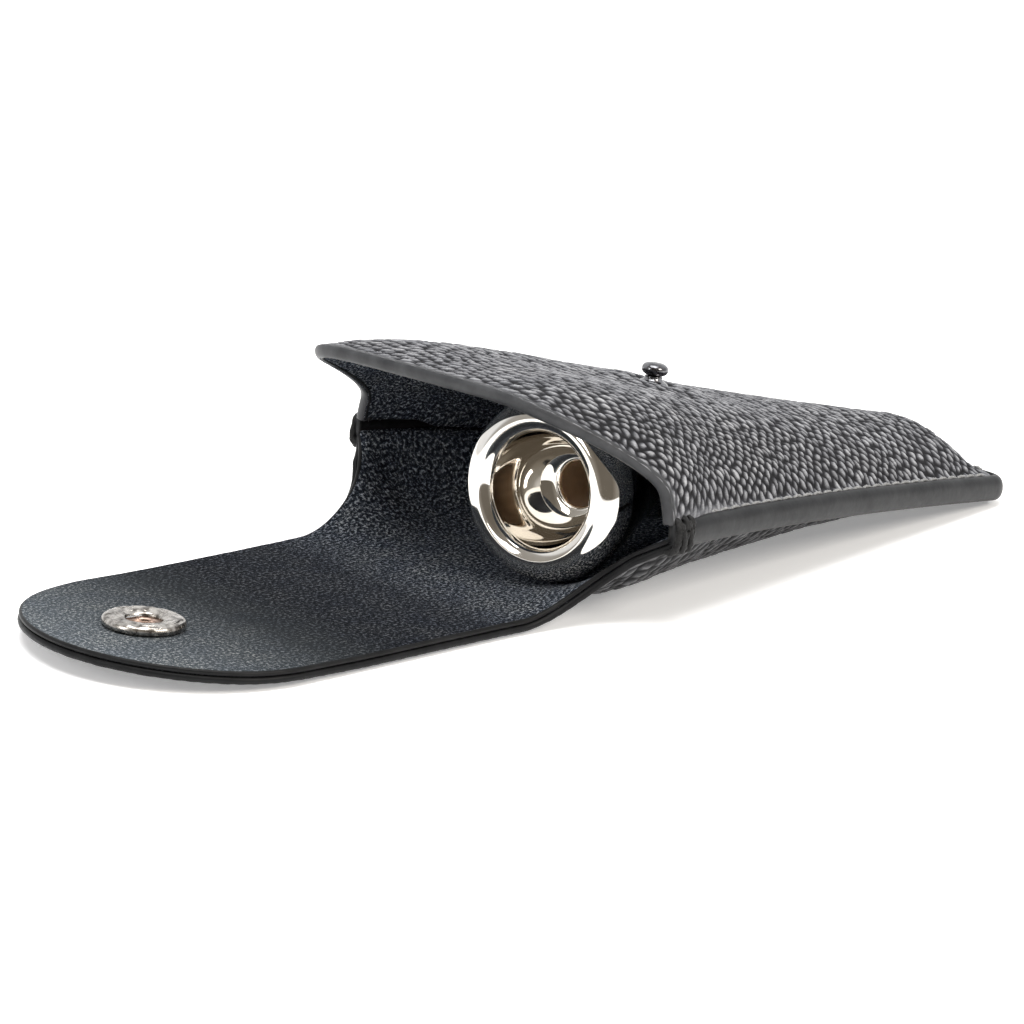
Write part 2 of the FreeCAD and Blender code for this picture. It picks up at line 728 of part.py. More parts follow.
for item in doc.Objects:
    for state in ("Invalid", "Error"):
        if state in item.State:
            raise RuntimeError("%s is %s" % (item.Name, state))
for name, item in parts.items():
    if item.Shape.isNull() or not item.Shape.isValid():
        raise RuntimeError("%s has no valid shape" % name)

os.makedirs("parts", exist_ok=True)
for name, item in parts.items():
    item.Shape.exportStep("parts/%s.step" % name)
    box = item.Shape.BoundBox
    print("%-20s %2d solids %9.2f mm3  x %7.2f %7.2f  y %6.2f %6.2f  z %6.2f %6.2f"
          % (name, len(item.Shape.Solids), item.Shape.Volume, box.XMin, box.XMax,
             box.YMin, box.YMax, box.ZMin, box.ZMax))
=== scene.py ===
"""Looks of the open leather pouch with a mouthpiece in its mouth.

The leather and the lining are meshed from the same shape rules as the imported
model, with rounded edges, real grain and real thread.  Lengths inside the shape
rules are millimetres; MM turns them into metres when a mesh is made.
"""
import math

import bmesh
import bpy
import numpy as np
from mathutils import Matrix, Vector


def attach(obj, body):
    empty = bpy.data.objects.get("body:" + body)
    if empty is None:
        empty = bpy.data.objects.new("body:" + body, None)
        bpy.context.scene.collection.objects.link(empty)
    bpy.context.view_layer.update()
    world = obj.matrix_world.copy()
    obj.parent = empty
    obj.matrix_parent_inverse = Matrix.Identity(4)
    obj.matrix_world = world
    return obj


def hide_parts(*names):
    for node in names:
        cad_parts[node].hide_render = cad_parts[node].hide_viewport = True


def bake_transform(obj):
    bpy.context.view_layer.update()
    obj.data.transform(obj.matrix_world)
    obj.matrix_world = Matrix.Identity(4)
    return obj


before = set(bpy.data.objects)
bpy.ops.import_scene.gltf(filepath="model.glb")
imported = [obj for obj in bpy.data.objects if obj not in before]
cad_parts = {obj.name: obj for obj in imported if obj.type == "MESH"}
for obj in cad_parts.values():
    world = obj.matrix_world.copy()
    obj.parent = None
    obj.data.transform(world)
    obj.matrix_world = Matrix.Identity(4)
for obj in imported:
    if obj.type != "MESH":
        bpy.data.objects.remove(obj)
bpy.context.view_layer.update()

MM = 0.001

# ---- driving sizes
LEATHER = 1.1           # outer leather
LINING = 0.8            # suede lining
SKIN = LEATHER + LINING
PLY_GAP = 0.02          # glue line between the two
LENGTH = 87.4           # mouth corners to the bottom edge
MOUTH_HALF = 33.2
BOTTOM_HALF = 15.6
SEAM_RISE = 12.8        # parting line at the mouth corners
SEAM_ARCH = 1.3         # how the parting line falls towards the bottom
LIP_REACH = 18.25       # how far the front stands out past the mouth corners
FLAP_HALF = 23.5
NECK_FLARE = 9.7
NECK_FADE = 4.8
FOLD_ONE = -12.0
FOLD_TWO = -47.0
FLAP_CUT = -29.5        # where the flap's skins are divided, between the folds
FLAP_TIP = -79.7
TONGUE_TILT = math.radians(3.5)
SNAP_REACH = 17.9       # second fold to the snap
STUD_X = 27.0
STUD_TILT = math.radians(9.0)
EDGE_INSET = 0.9        # skins stop this far inside the painted seam edge
BEAD = 0.5              # how far a free edge bulges past its skin
CORNER_ROUND = 4.0      # radius of the outline's two bottom corners
BOTTOM_FLANGE = 2.2     # flat sewn strip along the bottom edge
END_ROUND = 6.8         # run over which the front falls to that strip
SHARP_CUT = 76.0        # angle in degrees that keeps a cut edge sharp

rng = np.random.default_rng(11)
LATTICE = rng.random((256, 256))
CELL_A = rng.random((256, 256))
CELL_B = rng.random((256, 256))


# ---- shape rules

def ease(t):
    """A smooth step from 0 to 1."""
    t = np.clip(t, 0.0, 1.0)
    return t * t * (3.0 - 2.0 * t)


def value_at(rule, x):
    """A shape rule's value at one place."""
    return float(rule(np.array([x]))[0])


def running(steps):
    """Distance travelled at each point, from the steps between the points."""
    return np.concatenate([[0.0], np.cumsum(steps)])


def unit(vectors):
    """The vectors at length 1."""
    return vectors / (np.linalg.norm(vectors, axis=-1, keepdims=True) + 1e-12)


def between(at, i, j, fi, fj):
    """Value between the four neighbours (i, j) to (i + 1, j + 1) of a grid."""
    low = at(i, j) * (1.0 - fj) + at(i, j + 1) * fj
    high = at(i + 1, j) * (1.0 - fj) + at(i + 1, j + 1) * fj
    return low * (1.0 - fi) + high * fi


def seam_half(x):
    """Half width of the outline: the seam, and past the mouth the flap's neck."""
    neck = FLAP_HALF + NECK_FLARE * np.exp(np.minimum(x, 0.0) / NECK_FADE)
    body = MOUTH_HALF + (BOTTOM_HALF - MOUTH_HALF) * x / LENGTH
    return np.where(x < 0.0, neck, body)


def seam_height(x):
    """Height of the parting line between the back and the front."""
    neck = SKIN + (SEAM_RISE - SKIN) * np.maximum(0.0, 1.0 + x / 18.0) ** 1.7
    fall = np.clip(x / LENGTH, 0.0, 1.0) ** SEAM_ARCH
    return np.where(x < 0.0, neck, SEAM_RISE + (SKIN - SEAM_RISE) * fall)


def flange_width(x):
    """Width of the flat stitched flange inside the outline."""
    neck = np.maximum(0.5, 1.9 + 0.5 * x)
    return np.where(x < 0.0, neck, 1.9 + 1.7 * ease(x / 20.0))


def crest_height(x):
    """Height of the outer leather along the middle of the front."""
    stations = (-17.0, 0.0, 26.7, 60.0, 84.0)
    heights = (31.92, 29.9, 23.37, 14.98, 10.0)
    total = np.zeros_like(x)
    for i, height in enumerate(heights):
        term = np.full_like(x, height)
        for j, station in enumerate(stations):
            if j != i:
                term = term * (x - station) / (stations[i] - station)
        total = total + term
    return total


def end_drop(x):
    """1 along the body, falling to 0 where the front meets the bottom flange."""
    start = LENGTH - (BOTTOM_FLANGE + END_ROUND)
    return np.sqrt(1.0 - np.clip((x - start) / END_ROUND, 0.0, 1.0) ** 2)


def lip_line(y):
    """How far the front stands out past the mouth corners (negative x)."""
    u = np.minimum(np.abs(y) / (MOUTH_HALF - 1.0), 1.0)
    return -LIP_REACH * (1.0 - u ** 8.4) ** 1.5


def end_line(v):
    """x of the bottom edge of a skin, rounded at the two corners."""
    corner = np.clip((np.abs(v) - 0.6) / 0.4, 0.0, 1.0)
    return LENGTH - EDGE_INSET - CORNER_ROUND * (1.0 - np.sqrt(1.0 - 0.98 * corner ** 2))


def smooth_rows(values, passes):
    """Soften an array along its first axis; the two ends stay."""
    for _ in range(passes):
        inner = 0.25 * values[:-2] + 0.5 * values[1:-1] + 0.25 * values[2:]
        values = np.concatenate([values[:1], inner, values[-1:]])
    return values


def smooth_grid(points, along, across):
    """Soften a grid by a number of passes along each of its two directions."""
    points = smooth_rows(points, along)
    return np.swapaxes(smooth_rows(np.swapaxes(points, 0, 1), across), 0, 1)


def front_station(x, count):
    """Outer face of the front at one station, flange to flange, evenly spaced."""
    into = max(x, 0.0)
    half = value_at(seam_half, into) - value_at(flange_width, into)
    base = value_at(seam_height, into)
    rise = (value_at(crest_height, x) - SKIN - base) * value_at(end_drop, x)
    # boxy at the mouth and arched at the bottom, leaning a little to one side
    boxiness = 6.7 - 5.1 * into / LENGTH
    shoulder = 0.66 + 0.34 * float(ease(into / 45.0))
    lean = -0.07 * min(max((20.0 - x) / 37.0, 0.0), 1.0)
    u = np.sin(np.pi * (np.linspace(0.0, 1.0, 1201) - 0.5))
    y = half * u
    z = base + rise * np.maximum(0.0, 1.0 - np.abs(u) ** boxiness) ** shoulder * (1.0 + lean * u)
    dy = np.gradient(y)
    dz = np.gradient(z)
    size = np.hypot(dy, dz) + 1e-12
    y = y - SKIN * dz / size
    z = z + SKIN * dy / size
    top = base + SKIN
    edge = value_at(seam_half, into) - EDGE_INSET
    keep = z > top + 0.01
    if keep.any():
        left = min(-edge, y[keep][0])
        right = max(edge, y[keep][-1])
        y = np.concatenate([[left], y[keep], [right]])
        z = np.concatenate([[top], z[keep], [top]])
    else:
        y = np.array([-edge, edge])
        z = np.array([top, top])
    travelled = running(np.hypot(np.diff(y), np.diff(z)))
    goal = np.linspace(0.0, travelled[-1], count)
    y = np.interp(goal, travelled, y)
    z = np.interp(goal, travelled, z)
    passes = int(min(200, (0.7 * count / travelled[-1]) ** 2))
    return smooth_rows(y, passes), smooth_rows(z, passes)


class FrontForm:
    """The front's outer face as a surface of x and of the share v of the girth."""

    def __init__(self):
        self.stations = np.linspace(-20.0, LENGTH, 371)
        self.shares = np.linspace(-1.0, 1.0, 801)
        rows = [front_station(float(x), len(self.shares)) for x in self.stations]
        self.y, self.z = np.array(rows).transpose(1, 0, 2)

    def look_up(self, table, x, v):
        """Value of a table of the surface between its stations and shares."""
        step_x = self.stations[1] - self.stations[0]
        step_v = self.shares[1] - self.shares[0]
        i = np.clip((x - self.stations[0]) / step_x, 0.0, len(self.stations) - 1.001)
        j = np.clip((v + 1.0) / step_v, 0.0, len(self.shares) - 1.001)
        i0 = i.astype(int)
        j0 = j.astype(int)
        return between(lambda row, col: table[row, col], i0, j0, i - i0, j - j0)

    def lip(self, v):
        """x of the lip at the share v of the girth."""
        x = np.zeros_like(v)
        for _ in range(12):
            x = 0.5 * x + 0.5 * lip_line(self.look_up(self.y, x, v))
        return x

    def grid(self, rows, cols):
        """Points of the outer face from the lip to the bottom, (rows, cols, 3)."""
        line = np.linspace(-LIP_REACH, LENGTH - EDGE_INSET, 2000)
        height = self.look_up(self.z, line, np.zeros_like(line))
        travelled = running(np.hypot(np.diff(line), np.diff(height)))
        crest = np.interp(np.linspace(0.0, travelled[-1], rows), travelled, line)
        share = (crest - line[0]) / (line[-1] - line[0])
        v = np.linspace(-1.0, 1.0, cols)
        lip = self.lip(v)
        x = lip[None, :] + (end_line(v) - lip)[None, :] * share[:, None]
        vv = np.broadcast_to(v, x.shape)
        return np.stack([x, self.look_up(self.y, x, vv), self.look_up(self.z, x, vv)], axis=2)


def back_top(x, y):
    """Height of the lining's face on the back and the flap."""
    half = seam_half(x) - flange_width(x)
    rise = seam_height(x) - SKIN
    power = 2.6 - 0.9 * np.clip((x - 5.0) / 40.0, 0.0, 1.0)
    flat = 0.3 * half
    v = np.clip((np.abs(y) - flat) / (half - flat), 0.0, 1.0)
    past = FOLD_TWO - x
    lift = math.tan(TONGUE_TILT) * 0.5 * (past + np.sqrt(past ** 2 + 9.0))
    lift = lift * ease((FLAP_CUT - x) / 12.0)
    droop = 0.55 * (np.abs(y) / FLAP_HALF) ** 2.5 * np.clip(lift, 0.0, 1.0)
    return SKIN + rise * v ** power + lift - droop


def flap_edge(x):
    """Half width of a skin of the back and the flap."""
    return seam_half(x) - (BEAD + (EDGE_INSET - BEAD) * ease((x + 1.0) / 2.0))


def back_grid(rows, cols):
    """Lining face of the back, from the bottom edge to the cut in the flap."""
    v = np.linspace(-1.0, 1.0, cols)
    share = np.linspace(0.0, 1.0, rows)
    end = end_line(v)
    x = end[None, :] + (FLAP_CUT - end)[None, :] * share[:, None]
    y = flap_edge(x) * v[None, :]
    return np.stack([x, y, back_top(x, y)], axis=2)


def tongue_grid(rows, cols):
    """Lining face of the flap, from the cut to its round tip (a Coons patch)."""
    radius = FLAP_HALF - BEAD
    centre = FLAP_TIP + FLAP_HALF
    straight = FLAP_CUT - centre
    quarter = math.pi / 4.0
    run = np.linspace(0.0, straight + radius * quarter, rows)
    angle = np.maximum(run - straight, 0.0) / radius
    side_x = np.where(run < straight, FLAP_CUT - run, centre - radius * np.sin(angle))
    side_y = np.where(run < straight, radius, radius * np.cos(angle))
    v = np.linspace(-1.0, 1.0, cols)
    tip_x = centre - radius * np.cos(v * quarter)
    tip_y = radius * np.sin(v * quarter)
    s = np.linspace(0.0, 1.0, rows)[:, None]
    t = (0.5 * (v + 1.0))[None, :]
    x = (1.0 - s) * FLAP_CUT + s * tip_x[None, :] + side_x[:, None] \
        - ((1.0 - s) * FLAP_CUT + s * side_x[-1])
    y = (1.0 - s) * radius * v[None, :] + s * tip_y[None, :] + side_y[:, None] * v[None, :] \
        - ((1.0 - s) * radius + s * side_y[-1]) * (2.0 * t - 1.0)
    return np.stack([x, y, back_top(x, y)], axis=2)


def grid_normals(points):
    """Unit normals of a grid of points, on the side where the middle looks up."""
    normals = unit(np.cross(np.gradient(points, axis=0), np.gradient(points, axis=1)))
    middle = normals[normals.shape[0] // 2, normals.shape[1] // 2]
    return normals if middle[2] > 0.0 else -normals


def unrolled(points):
    """Flat coordinates of a grid, in mm along and across the leather."""
    steps = np.linalg.norm(np.diff(points, axis=0), axis=2)
    along = np.zeros(points.shape[:2])
    along[:-1] = np.cumsum(steps[::-1], axis=0)[::-1]
    steps = np.linalg.norm(np.diff(points, axis=1), axis=2)
    across = np.zeros(points.shape[:2])
    across[:, 1:] = np.cumsum(steps, axis=1)
    across -= across[:, -1:] / 2.0
    return -along, across


# ---- noise

def pick(table, i, j):
    """Entry of a 256 by 256 table that repeats."""
    return table[i & 255, j & 255]


def value_noise(x, y):
    """Smooth noise from 0 to 1 with a cell of 1."""
    i = np.floor(x).astype(int)
    j = np.floor(y).astype(int)
    return between(lambda row, col: pick(LATTICE, row, col), i, j, ease(x - i), ease(y - j))


GRAIN_LONG = 3.1        # length of one pebble of the grain
GRAIN_WIDE = 1.16       # and its width
GRAIN_TURN = math.radians(-65.0)
CELL_MARGIN = 0.26      # nearest that a pebble's middle comes to its cell's side
CELL_PLAY = 0.48        # how far the middle wanders inside its cell
CREASE = 0.62           # width of the slope from a crease to a pebble's top
FAR = 9.0               # further than any pebble


def pebbles(u, v):
    """Pebbled grain: 0 in the creases, about 1 on the pebbles."""
    wu = u + 1.6 * (value_noise(u / 6.0 + 9.0, v / 6.0) - 0.5)
    wv = v + 1.6 * (value_noise(u / 6.0, v / 6.0 + 31.0) - 0.5)
    wu += 0.3 * (value_noise(u / 1.7 + 5.0, v / 1.7) - 0.5)
    wv += 0.3 * (value_noise(u / 1.7, v / 1.7 + 77.0) - 0.5)
    along = (wu * math.cos(GRAIN_TURN) + wv * math.sin(GRAIN_TURN)) / GRAIN_LONG
    across = (-wu * math.sin(GRAIN_TURN) + wv * math.cos(GRAIN_TURN)) / GRAIN_WIDE
    ci = np.floor(along).astype(int)
    cj = np.floor(across).astype(int)
    nearest = np.full(u.shape, FAR)
    second = np.full(u.shape, FAR)
    tall = np.zeros(u.shape)
    for di in range(-2, 3):
        for dj in range(-2, 3):
            gi = ci + di
            gj = cj + dj
            px = gi + 0.5 * (gj & 1) + CELL_MARGIN + CELL_PLAY * pick(CELL_A, gi, gj)
            py = gj + CELL_MARGIN + CELL_PLAY * pick(CELL_B, gi, gj)
            gap = np.hypot(along - px, across - py)
            closer = gap < nearest
            second = np.where(closer, nearest, np.minimum(second, gap))
            tall = np.where(closer, pick(LATTICE, gi, gj), tall)
            nearest = np.where(closer, gap, nearest)
    ridge = ease((second - nearest) / CREASE)
    return ridge * (0.80 + 0.20 * tall) * (1.0 - 0.45 * nearest ** 2)


# ---- meshing

def make_object(name, points, faces, materials, face_slots=None, grain=None, flat=None,
                sharp=None):
    """A smooth mesh object from points in mm.

    grain is the pebbles' height for the material, flat the place on the flat
    leather, and sharp the angle in degrees above which an edge stays sharp.
    """
    mesh = bpy.data.meshes.new(name)
    mesh.from_pydata(points * MM, [], faces)
    for material in materials:
        mesh.materials.append(material)
    if face_slots is not None:
        mesh.polygons.foreach_set("material_index", face_slots.astype(np.int32))
    if grain is not None:
        attribute = mesh.attributes.new("grain", "FLOAT", "POINT")
        attribute.data.foreach_set("value", grain.astype(np.float32))
    if flat is not None:
        attribute = mesh.attributes.new("flat", "FLOAT_VECTOR", "POINT")
        attribute.data.foreach_set("vector", flat.astype(np.float32).ravel())
    bm = bmesh.new()
    bm.from_mesh(mesh)
    bmesh.ops.remove_doubles(bm, verts=bm.verts, dist=1e-7)
    bmesh.ops.recalc_face_normals(bm, faces=bm.faces)
    bm.to_mesh(mesh)
    bm.free()
    mesh.shade_smooth()
    if sharp is not None:
        mesh.set_sharp_from_angle(angle=math.radians(sharp))
    obj = bpy.data.objects.new(name, mesh)
    bpy.context.scene.collection.objects.link(obj)
    return obj


def boundary(rows, cols):
    """Grid indices of the boundary, in order round the grid."""
    index = np.arange(rows * cols).reshape(rows, cols)
    return np.concatenate([index[0, :-1], index[:-1, -1], index[-1, :0:-1], index[:0:-1, 0]])


def quads(index_a, index_b):
    """Quads between two closed rings of indices."""
    return np.stack([index_a, np.roll(index_a, -1), np.roll(index_b, -1), index_b], axis=1)


BAND_RINGS = 5          # rings of points round a skin's edge


def skin_object(name, outer, inner, bulge, materials, grain, flat, cut_row=None):
    """A closed skin: an outer grid, an inner grid and a rounded edge between them.

    materials are those of the outer face, the edge and the inner face.  cut_row is
    the grid row where the skin meets the next one and its edge stays flat.
    """
    rows, cols = outer.shape[:2]
    count = rows * cols
    ring = boundary(rows, cols)
    points = [outer.reshape(-1, 3), inner.reshape(-1, 3)]
    top, low = points[0][ring], points[1][ring]
    middle = 0.5 * (top + low)
    tangent = np.roll(middle, -1, axis=0) - np.roll(middle, 1, axis=0)
    outward = unit(np.cross(tangent, top - low))
    inside = 0.5 * (outer[rows // 2, 1] + inner[rows // 2, 1])
    probe = np.nonzero(ring == (rows // 2) * cols)[0][0]
    if np.dot(outward[probe], middle[probe] - inside) < 0.0:
        outward = -outward
    reach = np.full(len(ring), bulge)
    if cut_row is not None:
        on_row = ring // cols == cut_row % rows
        reach[on_row] = 0.0
        for column, sign in ((0, -1.0), (cols - 1, 1.0)):
            at = on_row & (ring % cols == column)
            reach[at] = bulge
            outward[at] = (0.0, sign, 0.0)
    rings = [ring]
    for k in range(1, BAND_RINGS + 1):
        angle = math.pi * k / (BAND_RINGS + 1)
        points.append(middle + 0.5 * (top - low) * math.cos(angle)
                      + outward * (reach * math.sin(angle))[:, None])
        rings.append(2 * count + (k - 1) * len(ring) + np.arange(len(ring)))
    rings.append(ring + count)
    index = np.arange(count).reshape(rows, cols)
    face = np.stack([index[:-1, :-1], index[:-1, 1:], index[1:, 1:], index[1:, :-1]],
                    axis=2).reshape(-1, 4)
    bands = [quads(a, b) for a, b in zip(rings[:-1], rings[1:])]
    faces = np.concatenate([face, face[:, ::-1] + count] + bands)
    slots = np.concatenate([np.zeros(len(face)), np.full(len(face), 2),
                            np.ones(sum(len(b) for b in bands))])
    all_points = np.concatenate(points)
    if grain is not None:
        grain = np.concatenate([grain.ravel(), np.ones(len(all_points) - count)])
    u, v = flat
    plane = np.stack([u, v, np.zeros_like(u)], axis=2).reshape(-1, 3)
    flat = np.concatenate([plane, plane, np.tile(plane[ring], (BAND_RINGS, 1))])
    return make_object(name, all_points, faces, materials, slots, grain, flat,
                       None if cut_row is None else SHARP_CUT)


def strip_object(name, sections, material):
    """A closed bar from a row of equal sections, each a ring of points."""
    sections = np.array(sections)
    rows, ring = sections.shape[:2]
    index = np.arange(rows * ring).reshape(rows, ring)
    faces = [list(face) for i in range(rows - 1) for face in quads(index[i], index[i + 1])]
    points = list(sections.reshape(-1, 3))
    for row in (0, rows - 1):
        points.append(sections[row].mean(axis=0))
        hub = len(points) - 1
        faces += [[index[row, k], index[row, (k + 1) % ring], hub] for k in range(ring)]
    return make_object(name, np.array(points), faces, [material])


def thread_sections(path, radius, sides=10, plies=2, twist=1.1):
    """Rings of a twisted thread that follows a path of points."""
    path = np.asarray(path, float)
    tangent = unit(np.gradient(path, axis=0))
    side = unit(np.cross(tangent, np.array([0.31, 0.17, 0.93])))
    lift = np.cross(side, tangent)
    travelled = running(np.linalg.norm(np.diff(path, axis=0), axis=1))
    rings = []
    for i, point in enumerate(path):
        angle = np.linspace(0.0, 2.0 * math.pi, sides, endpoint=False)
        phase = travelled[i] / radius * twist
        size = radius * (1.0 + 0.16 * np.cos(plies * (angle - phase)))
        rings.append(point + np.outer(size * np.cos(angle), side[i])
                     + np.outer(size * np.sin(angle), lift[i]))
    return rings


def join(name, objects):
    """One object from several, keeping their meshes."""
    bm = bmesh.new()
    for obj in objects:
        bm.from_mesh(obj.data)
    target = objects[0]
    bm.to_mesh(target.data)
    bm.free()
    target.name = name
    target.data.name = name
    for obj in objects[1:]:
        bpy.data.objects.remove(obj)
    return target


def turned_object(name, outline, place, material, segments, tarnish=None, relief=None):
    """A turned piece from a closed (r, z) outline in mm, placed by a matrix in mm.

    tarnish has one value from 0 to 1 for each point of the outline, and relief
    moves the points in z by a function of radius, angle and height.
    """
    angle = np.linspace(0.0, 2.0 * math.pi, segments, endpoint=False)[:, None]
    radius = np.tile(outline[:, 0], (segments, 1))
    height = np.tile(outline[:, 1], (segments, 1))
    if relief is not None:
        height += relief(radius, angle, height)
    points = np.stack([radius * np.cos(angle), radius * np.sin(angle), height], axis=2)
    place = np.array(place)
    points = points.reshape(-1, 3) @ place[:3, :3].T + place[:3, 3]
    index = np.arange(radius.size).reshape(radius.shape)
    after = np.roll(index, -1, axis=0)
    faces = np.stack([index, after, np.roll(after, -1, axis=1), np.roll(index, -1, axis=1)],
                     axis=2).reshape(-1, 4)
    shades = None if tarnish is None else np.tile(tarnish, segments)
    return make_object(name, points, faces, [material], None, shades)


# ---- materials

class Nodes:
    """Small helpers that add nodes to a tree."""

    def __init__(self, owner):
        owner.use_nodes = True
        self.tree = owner.node_tree

    def node(self, kind, **values):
        item = self.tree.nodes.new(kind)
        for key, value in values.items():
            setattr(item, key, value)
        return item

    def link(self, source, target):
        self.tree.links.new(source, target)

    def object_coords(self):
        return self.node("ShaderNodeTexCoord").outputs["Object"]

    def attribute(self, title, output):
        item = self.node("ShaderNodeAttribute", attribute_name=title)
        return item.outputs[output]

    def noise(self, coords, scale, detail=4.0, rough=0.55):
        item = self.node("ShaderNodeTexNoise")
        item.inputs["Scale"].default_value = scale
        item.inputs["Detail"].default_value = detail
        item.inputs["Roughness"].default_value = rough
        self.link(coords, item.inputs["Vector"])
        return item.outputs["Fac"]

    def ramp(self, value, stops):
        item = self.node("ShaderNodeValToRGB")
        elements = item.color_ramp.elements
        while len(elements) < len(stops):
            elements.new(0.5)
        for element, (place, colour) in zip(elements, stops):
            element.position = place
            element.color = (*colour, 1.0)
        self.link(value, item.inputs["Fac"])
        return item.outputs["Color"]

    def spread(self, value, low, high, from_low=0.0, from_high=1.0):
        """The value's range spread over another one, and held at its ends."""
        item = self.node("ShaderNodeMapRange")
        for title, number in (("From Min", from_low), ("From Max", from_high),
                              ("To Min", low), ("To Max", high)):
            item.inputs[title].default_value = number
        self.link(value, item.inputs["Value"])
        return item.outputs["Result"]

    def mix(self, factor, colour_a, colour_b, blend="MIX"):
        """Mix of two colours; each of the three values is a constant or a socket."""
        item = self.node("ShaderNodeMix", data_type="RGBA", blend_type=blend)
        inputs = [s for s in item.inputs if s.type == "RGBA"]
        for value, target in zip((factor, colour_a, colour_b), (item.inputs[0], *inputs)):
            if isinstance(value, (int, float)):
                target.default_value = value
            elif isinstance(value, tuple):
                target.default_value = (*value, 1.0)
            else:
                self.link(value, target)
        return [s for s in item.outputs if s.type == "RGBA"][0]

    def multiply(self, colour_a, colour_b):
        return self.mix(1.0, colour_a, colour_b, "MULTIPLY")

    def x_of(self, coords):
        item = self.node("ShaderNodeSeparateXYZ")
        self.link(coords, item.inputs["Vector"])
        return item.outputs["X"]

    def bump(self, height, distance, strength):
        item = self.node("ShaderNodeBump")
        item.inputs["Distance"].default_value = distance
        item.inputs["Strength"].default_value = strength
        self.link(height, item.inputs["Height"])
        return item.outputs["Normal"]


class Shade(Nodes):
    """A node material with a Principled shader."""

    def __init__(self, name):
        self.material = bpy.data.materials.new(name)
        super().__init__(self.material)
        self.shader = self.tree.nodes["Principled BSDF"]

    def set(self, **values):
        """Constants of the shader, named as its sockets with _ for a space."""
        for key, value in values.items():
            self.shader.inputs[key.replace("_", " ")].default_value = value

    def finish(self, colour, rough, normal=None):
        """The material, with these links into its shader."""
        self.link(colour, self.shader.inputs["Base Color"])
        self.link(rough, self.shader.inputs["Roughness"])
        if normal is not None:
            self.link(normal, self.shader.inputs["Normal"])
        return self.material


def grey(level):
    return (level,) * 3


def pebbled_leather(name, level):
    """Grained leather; the level is how light it is under the pouch, past x = 0, a painted shade
    there.
    """
    shade = Shade(name)
    flat = shade.attribute("flat", "Vector")
    grain = shade.attribute("grain", "Fac")
    # painted shade and painted highlight: the creases near black and the pebbles' tops much
    # lighter, by the grain's height
    stops = ((0.0, (0.003, 0.003, 0.004)), (0.40, (0.012, 0.012, 0.015)),
             (0.70, (0.100, 0.101, 0.108)), (0.95, (0.285, 0.287, 0.296)))
    creases = shade.ramp(grain, stops)
    patches = shade.ramp(shade.noise(flat, 0.12, 3.0),
                         [(0.3, (0.78, 0.79, 0.82)), (0.7, (1.12, 1.12, 1.12))])
    colour = shade.multiply(creases, patches)
    # painted shade under the pouch: past about x = -2 mm the colour falls to the level
    under = shade.spread(shade.x_of(flat), 0.0, 1.0, -14.0, -2.0)
    colour = shade.multiply(colour, shade.mix(under, grey(1.0), grey(level)))
    pores = shade.noise(flat, 2.6, 6.0, 0.65)
    wrinkles = shade.ramp(pores, [(0.36, grey(0.66)), (0.64, grey(1.30))])
    colour = shade.multiply(colour, wrinkles)
    rough = shade.spread(grain, 0.85, 0.40)
    normal = shade.bump(pores, 0.00012, 0.55)
    shade.set(Specular_IOR_Level=0.3)
    return shade.finish(colour, rough, normal)


def edge_paint(name, level, gloss=0.25):
    """Black paint of the cut edges, slightly streaked; the level is how light it is."""
    shade = Shade(name)
    coords = shade.object_coords()
    streaks = shade.noise(coords, 260.0, 4.0)
    stops = ((0.3, (0.020, 0.021, 0.023)), (0.7, (0.050, 0.051, 0.054)))
    colour = shade.ramp(streaks, [(at, tuple(level * c for c in tint)) for at, tint in stops])
    rough = shade.spread(shade.noise(coords, 900.0, 3.0), 0.36, 0.52)
    normal = shade.bump(shade.noise(coords, 700.0, 3.0), 0.00012, 0.35)
    shade.set(Specular_IOR_Level=gloss)
    return shade.finish(colour, rough, normal)


def suede():
    """Napped near-black lining, with painted light and shade along x: lighter inside the mouth,
    darkest along the flap's middle and lighter towards the flap's tip.
    """
    shade = Shade("suede")
    flat = shade.attribute("flat", "Vector")
    nap = shade.noise(flat, 2.1, 3.0, 0.8)
    brushed = shade.noise(flat, 0.16, 3.0, 0.6)
    fibres = shade.ramp(nap, [(0.42, (0.003, 0.004, 0.006)), (0.52, (0.012, 0.016, 0.023)),
                              (0.62, (0.170, 0.187, 0.214))])
    sweep = shade.ramp(brushed, [(0.3, (0.72, 0.76, 0.86)), (0.7, (1.25, 1.22, 1.18))])
    colour = shade.multiply(fibres, sweep)
    along = shade.x_of(shade.object_coords())
    # painted light and shade along x: much lighter inside the mouth against its shade, darkest
    # along the flap's middle, lighter again at the tip
    depth = shade.ramp(shade.spread(along, 0.0, 1.0, -0.080, -0.005),
                       [(0.0, (0.84, 0.82, 0.78)), (0.40, grey(0.115)),
                        (0.74, (0.19, 0.19, 0.20)), (1.0, grey(1.0))])
    colour = shade.multiply(colour, shade.multiply(depth, (2.7, 2.6, 2.4)))
    # painted light: the lining mixed lighter towards the flap's tip, where it faces up to the
    # light
    tip_light = shade.spread(along, 0.0, 0.38, -0.040, -0.080)
    tip_lit = shade.mix(tip_light, colour, (0.112, 0.128, 0.138))
    rough = shade.spread(nap, 0.82, 0.98)
    normal = shade.bump(nap, 0.00025, 0.8)
    shade.set(Specular_IOR_Level=0.04, Sheen_Weight=0.012, Sheen_Roughness=0.45,
              Sheen_Tint=(0.72, 0.80, 0.92, 1.0))
    return shade.finish(tip_lit, rough, normal)


def thread_material(name, dark, pale):
    """Waxed thread between two shades of grey."""
    shade = Shade(name)
    coords = shade.object_coords()
    fibres = shade.noise(coords, 4200.0, 3.0)
    colour = shade.ramp(fibres, [(0.3, grey(dark)), (0.7, grey(pale))])
    rough = shade.spread(fibres, 0.45, 0.65)
    normal = shade.bump(fibres, 0.00006, 0.6)
    shade.set(Specular_IOR_Level=0.15, Sheen_Weight=0.02, Sheen_Roughness=0.4)
    return shade.finish(colour, rough, normal)


